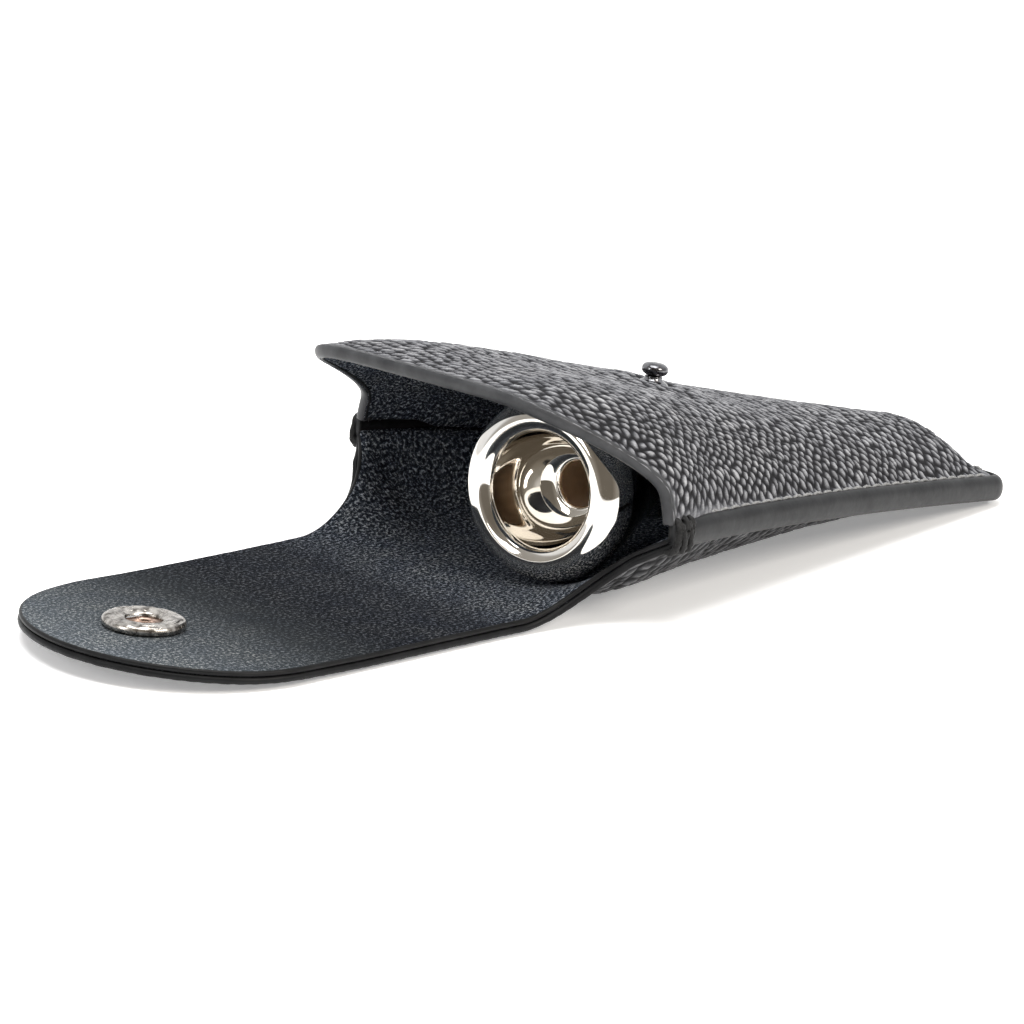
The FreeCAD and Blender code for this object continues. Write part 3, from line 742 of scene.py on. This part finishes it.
def metal(name, pale, dark, rough_low, rough_high, scale):
    """Plated or bare metal, blotched between two colours."""
    shade = Shade(name)
    coords = shade.object_coords()
    blotches = shade.noise(coords, scale, 5.0, 0.6)
    colour = shade.ramp(blotches, [(0.38, dark), (0.6, pale)])
    rough = shade.spread(shade.noise(coords, scale * 0.4, 4.0), rough_low, rough_high)
    normal = shade.bump(blotches, 0.00002, 0.4)
    shade.set(Metallic=1.0)
    return shade.finish(colour, rough, normal)


def silver_plate():
    """Polished silver with smudges, browned where the tarnish is 1."""
    shade = Shade("silver_plate")
    tarnish = shade.attribute("grain", "Fac")
    coords = shade.object_coords()
    smudge = shade.noise(coords, 90.0, 4.0, 0.6)
    bright = shade.ramp(smudge, [(0.35, (0.70, 0.665, 0.61)), (0.65, (0.82, 0.79, 0.745))])
    colour = shade.mix(tarnish, bright, (0.74, 0.61, 0.48))
    wear = shade.spread(smudge, 0.025, 0.075, 0.3, 0.7)
    add = shade.node("ShaderNodeMath", operation="MULTIPLY_ADD")
    shade.link(tarnish, add.inputs[0])
    add.inputs[1].default_value = 0.35
    shade.link(wear, add.inputs[2])
    shade.set(Metallic=1.0)
    return shade.finish(colour, add.outputs[0])


LEATHER_LOOK = pebbled_leather("pebbled_leather", 1.0)
# the same leather with painted shade under the pouch, for the back and the flap
SHADED_UNDER_LOOK = pebbled_leather("pebbled_leather_back_shaded", 0.36)
EDGE_LOOK = edge_paint("edge_paint", 1.0)
SEAM_LOOK = edge_paint("seam_paint", 0.36, 0.2)
FLAP_EDGE_LOOK = edge_paint("flap_edge_paint", 0.2, 0.12)
SUEDE_LOOK = suede()
STITCH_LOOK = thread_material("stitch_thread", 0.11, 0.30)
TACK_LOOK = thread_material("tack_thread", 0.003, 0.022)
RING_LOOK = metal("gunmetal", (0.58, 0.55, 0.51), (0.15, 0.135, 0.12), 0.20, 0.36, 900.0)
STUD_LOOK = metal("dark_nickel", (0.24, 0.24, 0.25), (0.10, 0.10, 0.105), 0.12, 0.26, 500.0)
COPPER_LOOK = metal("copper", (0.48, 0.35, 0.29), (0.16, 0.11, 0.085), 0.25, 0.45, 800.0)
SPRING_LOOK = metal("spring_steel", (0.62, 0.62, 0.62), (0.40, 0.40, 0.41), 0.2, 0.3, 700.0)
SILVER_LOOK = silver_plate()


# ---- front panel

GRAIN_DEPTH = 0.46      # height of the pebbles above the creases
EDGE_GRAIN = 0.12       # share of the grain that is left at a skin's edge
EDGE_SHOWN = 0.8        # height that the material shows there
FRONT_ROWS = 380
FRONT_COLS = 340


def edge_fade(points, reach, floor):
    """floor at the edge of a grid, 1 from reach mm inwards."""
    steps_v = np.linalg.norm(np.diff(points, axis=1), axis=2)
    steps_s = np.linalg.norm(np.diff(points, axis=0), axis=2)
    from_left = np.concatenate([np.zeros((len(points), 1)), np.cumsum(steps_v, axis=1)], axis=1)
    from_right = from_left[:, -1:] - from_left
    from_start = np.concatenate([np.zeros((1, points.shape[1])), np.cumsum(steps_s, axis=0)])
    from_end = from_start[-1:] - from_start
    inwards = np.minimum(np.minimum(from_left, from_right), np.minimum(from_start, from_end))
    return floor + (1.0 - floor) * ease(inwards / reach)


def shown_grain(grain, fade):
    """Height of the pebbles for the material, even where they fade out."""
    return grain * fade + (1.0 - fade) * EDGE_SHOWN


def make_front():
    """Front leather and lining; the points and normals of the outer face."""
    form = FrontForm()
    points = smooth_grid(form.grid(FRONT_ROWS, FRONT_COLS), 6, 3)
    u, v = unrolled(points)
    normals = grid_normals(points)
    sway = 0.5 * (value_noise(u / 17.0 + 40.0, v / 14.0 + 5.0) - 0.5)
    sway += 0.25 * (value_noise(u / 7.0, v / 7.0 + 60.0) - 0.5)
    # the leather dips at the stud and rises in a ring round it
    away = np.hypot(points[:, :, 0] - STUD_X, points[:, :, 1])
    dimple = 0.40 * np.exp(-((away - 5.6) / 2.4) ** 2) - 0.30 * np.exp(-(away / 2.6) ** 2)
    points = points + normals * (sway * edge_fade(points, 12.0, 0.0) + dimple)[:, :, None]
    normals = grid_normals(points)
    fade = edge_fade(points, 2.6, EDGE_GRAIN)
    grain = pebbles(u, v)
    depth = GRAIN_DEPTH * fade * (grain - 1.0)
    outer = points + normals * depth[:, :, None]
    leather = skin_object("front_leather_skin", outer, points - normals * (LEATHER - PLY_GAP),
                          0.3, [LEATHER_LOOK, EDGE_LOOK, SUEDE_LOOK], shown_grain(grain, fade),
                          (u, v))
    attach(leather, "pouch")
    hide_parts("front_leather")
    coarse = points[::2, ::2]
    facing = normals[::2, ::2]
    nap = 0.04 * (value_noise(u[::2, ::2] * 1.7, v[::2, ::2] * 1.7) - 1.0)
    lining = skin_object("front_lining_skin", coarse - facing * (SKIN + nap)[:, :, None],
                         coarse - facing * (LEATHER + PLY_GAP), 0.2,
                         [SUEDE_LOOK, EDGE_LOOK, SUEDE_LOOK], None, (u[::2, ::2], v[::2, ::2]))
    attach(lining, "pouch")
    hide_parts("front_lining")
    return points, normals


def painted_edge(name, top, low, outward, proud, depth, squareness, look):
    """Smooth painted edge over the cut plies, from two lines of points."""
    rings = []
    angle = np.linspace(-0.5 * math.pi, 0.5 * math.pi, 16)
    reach = np.abs(np.cos(angle)) ** squareness
    rise = np.sign(np.sin(angle)) * np.abs(np.sin(angle)) ** 0.9
    for a, b, o in zip(top, low, outward):
        middle = 0.5 * (a + b)
        half = 0.5 * (a - b) * 1.02
        rings.append([middle + half * r + o * (-depth + (depth + proud) * q)
                      for r, q in zip(rise, reach)])
    piece = strip_object(name, rings, look)
    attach(piece, "pouch")


def make_lip_edge(points, normals):
    """Painted edge round the lip of the front."""
    top = points[0]
    low = points[0] - normals[0] * SKIN
    middle = 0.5 * (top + low)
    tangent = np.gradient(middle, axis=0)
    outward = unit(np.cross(tangent, top - low))
    if outward[len(outward) // 2][0] > 0.0:
        outward = -outward
    painted_edge("lip_edge", top, low, outward, 0.45, 0.5, 0.7, EDGE_LOOK)


def seam_outline(steps):
    """Plan of the seam from one mouth corner round the bottom to the other."""
    lean = math.atan((MOUTH_HALF - BOTTOM_HALF) / LENGTH)
    tangent_length = CORNER_ROUND * math.tan(0.5 * (0.5 * math.pi - lean))
    start = np.array([0.0, -MOUTH_HALF])
    corner = np.array([LENGTH, -BOTTOM_HALF])
    along = (corner - start) / np.linalg.norm(corner - start)
    first = corner - along * tangent_length
    centre = np.array([LENGTH - CORNER_ROUND, first[1] + math.cos(lean) * CORNER_ROUND])
    side = [start + (first - start) * t for t in np.linspace(0.0, 1.0, steps)]
    arc = [centre + CORNER_ROUND * np.array([math.sin(a), -math.cos(a)])
           for a in np.linspace(lean, 0.5 * math.pi, 16)[1:]]
    half = side + arc
    last = half[-1][1]
    bottom = [np.array([LENGTH, y]) for y in np.linspace(last, -last, 24)[1:-1]]
    mirrored = [p * np.array([1.0, -1.0]) for p in reversed(half)]
    return np.array(half + bottom + mirrored)


def make_seam_edge():
    """Painted edge round the seam of the back and the front."""
    plan = seam_outline(220)
    tangent = unit(np.gradient(plan, axis=0))
    outward = np.stack([tangent[:, 1], -tangent[:, 0], np.zeros(len(plan))], axis=1)
    height = seam_height(plan[:, 0])
    ripple = 0.10 * (value_noise(plan[:, 0] / 5.0, plan[:, 1] / 40.0 + 3.0) - 0.5)
    top = np.stack([plan[:, 0], plan[:, 1], height + SKIN + 0.04 + ripple], axis=1)
    low = np.stack([plan[:, 0], plan[:, 1], height - SKIN], axis=1)
    painted_edge("seam_edge", top, low, outward, 0.55, 1.0, 0.85, SEAM_LOOK)


# ---- back and flap

FADE = 2.0              # width over which the grain fades out at an edge
BACK_COLS = (167, 85)   # columns of the leather's and of the lining's grid


def bend(fold, before, after):
    """Two ends in metres of the leather that bends at a fold."""
    return ((fold + before) * MM, 0.0, SKIN * MM), ((fold - after) * MM, 0.0, SKIN * MM)


def back_face(grid, rows, cols, passes):
    """Points of a lining face, softened across, and their normals, x and y."""
    points = grid(rows, cols)
    if passes:
        points[:, :, 2] = smooth_grid(points[:, :, 2:], 0, passes)[:, :, 0]
    return points, grid_normals(points), points[:, :, 0], points[:, :, 1]


def make_skins_of_back():
    """Back and flap: two plies, each divided between the folds."""
    sections = (
        ("back", back_grid, (302, 152), (12, 3), "pouch", "flap_spine",
         bend(FOLD_ONE, 1.0, 9.0), -1, ("back_leather", "spine_leather"),
         ("back_lining", "spine_lining")),
        ("tongue", tongue_grid, (140, 71), (0, 0), "flap_spine", "flap_tongue",
         bend(FOLD_TWO, 5.0, 5.0), 0, ("tongue_leather",), ("tongue_lining",)),
    )
    for (name, grid, rows, passes, body_a, body_b, fold, cut_row, leather_nodes,
         lining_nodes) in sections:
        points, normals, x, y = back_face(grid, rows[0], BACK_COLS[0], passes[0])
        fade = edge_fade(points, FADE, EDGE_GRAIN)
        # the grain runs on over the cut, and fades at the sides only
        sides = ease((flap_edge(x) - np.abs(y)) / FADE)
        fade = np.where(np.abs(x - FLAP_CUT) < 8.0, EDGE_GRAIN + (1.0 - EDGE_GRAIN) * sides, fade)
        grain = pebbles(x, y)
        depth = GRAIN_DEPTH * fade * (1.0 - grain)
        bottom = points - normals * (SKIN - depth)[:, :, None]
        top = points - normals * (LINING + PLY_GAP)
        leather = skin_object(name + "_leather_skin", bottom, top, BEAD,
                              [SHADED_UNDER_LOOK, FLAP_EDGE_LOOK, SUEDE_LOOK], shown_grain(grain, fade),
                              (x, y), cut_row)
        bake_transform(leather)
        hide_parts(*leather_nodes)

        points, normals, x, y = back_face(grid, rows[1], BACK_COLS[1], passes[1])
        nap = 0.05 * (value_noise(x * 1.9, y * 1.9) - 1.0)
        lining = skin_object(name + "_lining_skin", points + normals * nap[:, :, None],
                             points - normals * (LINING - PLY_GAP), 0.38,
                             [SUEDE_LOOK, FLAP_EDGE_LOOK, SUEDE_LOOK], None, (x, y), cut_row)
        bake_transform(lining)
        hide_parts(*lining_nodes)


# ---- sewing

THREAD = 0.24           # radius of the thread
PITCH = 2.6             # from one stitch to the next
STITCH_END = 0.84 * PITCH
SIDE_START = 4.5        # mouth corner to the first stitch
SIDE_INSET = 1.25       # side stitches inside the outline
BOTTOM_INSET = 1.3      # bottom stitches inside the edge
BOTTOM_COUNT = 9
PROUD_ABOVE = 0.42      # how far a stitch arches out of the leather
PROUD_BELOW = 0.24
DIP = 0.28              # how deep its ends go into the leather


def stitch(ends, up, proud):
    """One stitch that dips into the leather at both ends."""
    start, end = ends
    path = []
    for t in np.linspace(0.0, 1.0, 9):
        hump = math.sin(math.pi * t) ** 0.5 if 0.0 < t < 1.0 else 0.0
        path.append(start + (end - start) * t + up * (proud * hump - DIP))
    return strip_object("stitch", thread_sections(path, THREAD), STITCH_LOOK)


def make_stitches():
    """Thread of the side seams, above and below, and of the bottom seam."""
    up = np.array([0.0, 0.0, 1.0])
    stand = SKIN + 0.02
    count = int((LENGTH - 2.0 * SIDE_START) / PITCH)
    for name, side in (("near_side_stitches", -1.0), ("far_side_stitches", 1.0)):
        pieces = []
        for i in range(count):
            a = SIDE_START + i * PITCH
            for facing, proud in ((1.0, PROUD_ABOVE), (-1.0, PROUD_BELOW)):
                ends = [np.array([x, side * (value_at(seam_half, x) - SIDE_INSET),
                                  value_at(seam_height, x) + facing * stand])
                        for x in (a, a + STITCH_END)]
                pieces.append(stitch(ends, up * facing, proud))
        thread = join(name + "_thread", pieces)
        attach(thread, "pouch")
        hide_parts(name)
    pieces = []
    x = LENGTH - BOTTOM_INSET
    z = value_at(seam_height, x) + stand
    for i in range(BOTTOM_COUNT):
        a = (i - 0.5 * BOTTOM_COUNT) * PITCH
        ends = [np.array([x, y, z]) for y in (a + 0.2, a + STITCH_END)]
        pieces.append(stitch(ends, up, PROUD_ABOVE))
    thread = join("bottom_stitches_thread", pieces)
    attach(thread, "pouch")
    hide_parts("bottom_stitches")


# the turns' places along the edge, slants and looseness
TACK_TURNS = ((0.2, 0.5, 1.45), (1.05, -0.3, 1.75), (1.7, 0.7, 1.5), (2.7, -0.2, 1.65),
              (3.2, 0.5, 1.4))


def make_tacks():
    """Turns of thread whipped over the seam at each mouth corner."""
    for name, side in (("near_corner_tack", -1.0), ("far_corner_tack", 1.0)):
        pieces = []
        for x, slant, loose in TACK_TURNS:
            edge = value_at(seam_half, x)
            middle = value_at(seam_height, x)
            path = []
            for angle in np.linspace(-0.72 * math.pi, 0.72 * math.pi, 33):
                out = math.copysign(abs(math.cos(angle)) ** 0.7, math.cos(angle))
                rise = math.copysign(abs(math.sin(angle)) ** 0.8, math.sin(angle))
                path.append((x + slant * math.sin(angle), side * (edge - 0.75 + loose * out),
                             middle + (SKIN + 0.25) * rise))
            pieces.append(strip_object("turn", thread_sections(path, 0.50, 12, 3, 0.8), TACK_LOOK))
        thread = join(name + "_thread", pieces)
        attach(thread, "pouch")
        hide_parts(name)


# ---- metal

def rounded(points, radius, steps=5):
    """The outline with every corner rounded off by up to the radius."""
    points = [np.array(p, float) for p in points]
    result = []
    count = len(points)
    for i, point in enumerate(points):
        before = points[i - 1] - point
        after = points[(i + 1) % count] - point
        length_a = np.linalg.norm(before)
        length_b = np.linalg.norm(after)
        cut = min(radius, 0.45 * length_a, 0.45 * length_b)
        if point[0] < 1e-6 or cut < 1e-4:
            result.append(point)
            continue
        a = point + before / length_a * cut
        b = point + after / length_b * cut
        for t in np.linspace(0.0, 1.0, steps):
            result.append((1 - t) ** 2 * a + 2 * t * (1 - t) * point + t ** 2 * b)
    return np.array(result)


def snap_place():
    """The tongue's frame at the snap: +Z out of the lining."""
    turn = Matrix.Rotation(TONGUE_TILT, 4, "Y")
    base = Vector((FOLD_TWO - SNAP_REACH * math.cos(TONGUE_TILT), 0.0,
                   SKIN + SNAP_REACH * math.sin(TONGUE_TILT)))
    return Matrix.Translation(base) @ turn


CAP_RADIUS = 6.2


def make_snap():
    """Cap, post and socket of the snap on the tongue."""
    place = snap_place()
    dome = [(0.0, -SKIN), (CAP_RADIUS, -SKIN)]
    for r in np.linspace(CAP_RADIUS, 0.0, 24):
        dome.append((r, -SKIN - 0.35 - 0.7 * (1.0 - (r / CAP_RADIUS) ** 2)))
    cap = turned_object("snap_cap_dome", rounded(dome, 0.15), place, STUD_LOOK, 96)
    post = [(0.0, -1.85), (2.35, -1.85), (2.35, 0.32), (3.1, 0.32), (3.1, 0.5), (2.3, 0.62),
            (2.0, 0.45), (1.9, 0.12), (0.0, 0.1)]
    eyelet = turned_object("cap_post_eyelet", rounded(post, 0.12), place, COPPER_LOOK, 64)
    ring = [(2.5, 0.02), (5.1, 0.02), (5.5, 0.16), (5.7, 0.6), (5.62, 0.98), (5.3, 1.34),
            (4.7, 1.52), (3.9, 1.5), (3.15, 1.36), (2.6, 1.12), (2.45, 0.8), (2.5, 0.5)]

    def hammered(radius, angle, height):
        """Shallow dents in the socket's upper face."""
        mask = ease((radius - 2.7) / 0.4) * ease((5.5 - radius) / 0.3) * ease((height - 1.1) / 0.2)
        spots = value_noise(radius * 2.6 + 11.0, angle * 9.0 / math.pi * 2.0)
        return -0.10 * mask * ease((spots - 0.45) / 0.2)

    socket = turned_object("snap_socket_ring", rounded(ring, 0.25, 7), place, RING_LOOK, 144,
                           relief=hammered)
    for piece, node, finish in ((cap, "snap_cap", "gunmetal"), (eyelet, "cap_post", "copper"),
                                (socket, "snap_socket", "gunmetal")):
        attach(piece, "flap_tongue")
        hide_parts(node)


def make_stud():
    """Ball stud of the snap on the front."""
    crest = value_at(crest_height, STUD_X)
    place = Matrix.Translation((STUD_X, 0.0, crest)) @ Matrix.Rotation(STUD_TILT, 4, "Y")
    outline = [(0.0, -SKIN), (1.7, -SKIN), (1.7, -0.5), (2.1, -0.45), (2.2, -0.1), (2.0, 0.2),
               (1.5, 0.4), (1.25, 0.8), (1.3, 1.05)]
    for angle in np.linspace(-0.62, 0.5, 18) * math.pi:
        if -0.5 * math.pi < angle:
            radius = 1.95 * math.cos(angle) ** 0.62 if angle < 0.499 * math.pi else 0.0
            outline.append((radius, 2.02 + 0.98 * math.sin(angle)))
    stud = turned_object("snap_stud_ball", rounded(outline, 0.12), place, STUD_LOOK, 96)
    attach(stud, "pouch")
    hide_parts("snap_stud")


RIM = 12.9              # radius of the mouthpiece's rim
BITE = 8.05             # radius of the rim's inner edge
RIM_CREST = 0.5 * (BITE + RIM) - 0.6
BITE_DROP = 1.6         # rim face to its inner edge
RIM_DROP = 3.3          # and to its outer edge
CUP_FLOOR = 10.6        # depth of the cup
THROAT_EDGE = 0.5       # round of the throat's lip
THROAT_LIP = 3.55       # radius where the throat opens into the cup
SHANK = 4.25            # radius of the shank's end
MOUTHPIECE_LENGTH = 70.0
MOUTHPIECE_AT = (-7.4, -13.2, 15.75)
MOUTHPIECE_TURN = math.radians(13.0)
MOUTHPIECE_TIP = math.radians(96.3)


def mouthpiece_outline():
    """(r, z) outline in fine steps, z from the rim face to the end of the shank."""
    length = MOUTHPIECE_LENGTH
    points = []
    for a in np.linspace(0.0, math.pi, 49):
        inner = a <= 0.5 * math.pi
        half = RIM_CREST - BITE if inner else RIM - RIM_CREST
        drop = BITE_DROP if inner else RIM_DROP
        points.append((RIM_CREST - half * math.cos(a), drop * (1.0 - math.sin(a))))
    for a in np.linspace(0.0, 0.5 * math.pi, 20):
        points.append((RIM - 1.45 * (1.0 - math.cos(a)), 4.5 + 1.8 * math.sin(a)))
    for t in np.linspace(0.03, 1.0, 50):
        radius = 11.6 - 5.4 * float(ease(t)) - 1.1 * math.sin(math.pi * t) * t
        points.append((radius, 6.3 + 21.7 * t))
    shoulder = SHANK + 0.025 * (length - 31.0)
    for a in np.linspace(0.0, math.pi, 16)[1:]:
        points.append((6.2 + 0.35 * math.sin(a), 28.2 + 0.7 * (1.0 - math.cos(a))))
    points += [(shoulder + 0.35, 29.9), (shoulder + 0.08, 30.4), (shoulder, 31.2)]
    points += [(shoulder + (SHANK + 0.1 - shoulder) * t, 31.2 + (length - 31.7) * t)
               for t in np.linspace(0.05, 1.0, 20)]
    points += [(SHANK, length - 0.2), (SHANK - 0.2, length), (SHANK - 0.6, length),
               (SHANK - 0.75, length - 0.15)]
    points += [(3.3, length - 12.0), (2.5, 36.0), (1.85, 24.0), (1.85, 20.0), (2.2, 15.0),
               (THROAT_LIP - THROAT_EDGE, 12.0)]
    for a in np.linspace(0.0, 0.5 * math.pi, 16)[1:]:
        points.append((THROAT_LIP - THROAT_EDGE * math.cos(a), 12.0 - 1.4 * math.sin(a)))
    for a in np.linspace(0.0, 0.5 * math.pi, 60)[1:-1]:
        points.append((THROAT_LIP + (BITE - THROAT_LIP) * math.sin(a),
                       CUP_FLOOR - (CUP_FLOOR - BITE_DROP) * (1.0 - math.cos(a))))
    return np.array(points)


def make_mouthpiece():
    """The mouthpiece, tarnished in its throat and bore."""
    outline = mouthpiece_outline()
    turn = Matrix.Rotation(MOUTHPIECE_TURN, 4, "Z") @ Matrix.Rotation(MOUTHPIECE_TIP, 4, "Y")
    place = Matrix.Translation(MOUTHPIECE_AT) @ turn
    deeper = outline[:, 1] - (CUP_FLOOR + 0.1)
    inside = (outline[:, 0] < 3.5) & (deeper > 0.0)
    tarnish = np.where(inside, np.clip(deeper / 0.7, 0.0, 1.0), 0.0)
    piece = turned_object("mouthpiece_turned", outline, place, SILVER_LOOK, 200, tarnish)
    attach(piece, "mouthpiece")
    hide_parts("mouthpiece")


# ---- stage, light, camera

DARK_SIDE = (-0.653, -0.700, 0.289)     # towards the dark room
FLOOR_HALF = 3.0        # metres
FLOOR_DROP = -0.0004


def make_stage():
    """Pale floor under the pouch."""
    mesh = bpy.data.meshes.new("floor")
    mesh.from_pydata([(x * FLOOR_HALF, y * FLOOR_HALF, FLOOR_DROP)
                      for x, y in ((-1.0, -1.0), (1.0, -1.0), (1.0, 1.0), (-1.0, 1.0))],
                     [], [(0, 1, 2, 3)])
    shade = Shade("floor_card")
    coords = shade.object_coords()
    colour = shade.ramp(shade.noise(coords, 3.0, 2.0), [(0.3, grey(0.90)), (0.7, grey(0.94))])
    shade.set(Specular_IOR_Level=0.1, Emission_Color=(1.0, 1.0, 1.0, 1.0), Emission_Strength=0.28)
    mesh.materials.append(shade.finish(colour, shade.spread(coords, 0.8, 0.85)))
    floor = bpy.data.objects.new("floor", mesh)
    bpy.context.scene.collection.objects.link(floor)


def make_world():
    """White studio, with the dark room on the camera's side."""
    world = bpy.data.worlds.new("studio")
    bpy.context.scene.world = world
    studio = Nodes(world)
    background = studio.tree.nodes["Background"]
    facing = studio.node("ShaderNodeVectorMath", operation="DOT_PRODUCT")
    facing.inputs[1].default_value = DARK_SIDE
    studio.link(studio.node("ShaderNodeTexCoord").outputs["Generated"], facing.inputs[0])
    stops = [(0.0, (1.0, 1.0, 1.0)), (0.52, (0.92, 0.93, 0.95)), (0.60, (0.42, 0.41, 0.39)),
             (0.84, (0.30, 0.275, 0.24)), (0.94, (0.17, 0.15, 0.125))]
    room = studio.ramp(studio.spread(facing.outputs["Value"], 0.0, 1.0, -1.0), stops)
    studio.link(room, background.inputs["Color"])
    background.inputs["Strength"].default_value = 1.05


def soft_light(name, place, target, size, power, colour=(1.0, 1.0, 1.0)):
    """Rectangular light that looks from a place at a target."""
    data = bpy.data.lights.new(name, "AREA")
    data.shape = "RECTANGLE"
    data.size = size[0]
    data.size_y = size[1]
    data.energy = power
    data.color = colour
    light = bpy.data.objects.new(name, data)
    light.location = place
    aim = Vector(target) - Vector(place)
    light.rotation_euler = aim.to_track_quat("-Z", "Y").to_euler()
    bpy.context.scene.collection.objects.link(light)


def make_lights():
    """Soft boxes above, at the left and at the right."""
    soft_light("top_box", (-0.10, -0.05, 0.80), (0.0, 0.0, 0.0), (0.6, 0.5), 8.0)
    soft_light("left_box", (-0.80, 0.10, 0.35), (0.0, 0.0, 0.01), (0.2, 0.45), 2.0)
    soft_light("right_box", (0.20, -0.80, 0.60), (0.0, 0.0, 0.01), (0.35, 0.35), 6.0,
               (1.0, 0.95, 0.88))


def make_camera():
    """Camera that was fitted to the photo."""
    data = bpy.data.cameras.new("camera")
    data.sensor_width = 36.0
    data.lens = 174.6
    data.shift_x = 0.0063
    data.shift_y = 0.0555
    data.clip_start = 0.05
    data.clip_end = 20.0
    camera = bpy.data.objects.new("camera", data)
    right = Vector((0.74011, -0.67086, 0.04676))
    up = Vector((0.16116, 0.24445, 0.95618))
    back = Vector((-0.65289, -0.70014, 0.28903))
    turn = Matrix((right, up, back)).transposed().to_4x4()
    camera.matrix_world = Matrix.Translation((-0.45702, -0.49010, 0.20232)) @ turn
    bpy.context.scene.collection.objects.link(camera)
    bpy.context.scene.camera = camera


# ---- making

make_camera()
make_stage()
make_world()
make_lights()
front_points, front_normals = make_front()
make_lip_edge(front_points, front_normals)
make_seam_edge()
make_skins_of_back()
make_stitches()
make_tacks()
make_snap()
make_stud()
make_mouthpiece()
for node, look in (("socket_spring", SPRING_LOOK), ("stud_rivet", STUD_LOOK)):
    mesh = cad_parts[node].data
    mesh.materials.clear()
    mesh.materials.append(look)
bpy.context.scene.view_settings.view_transform = "Standard"
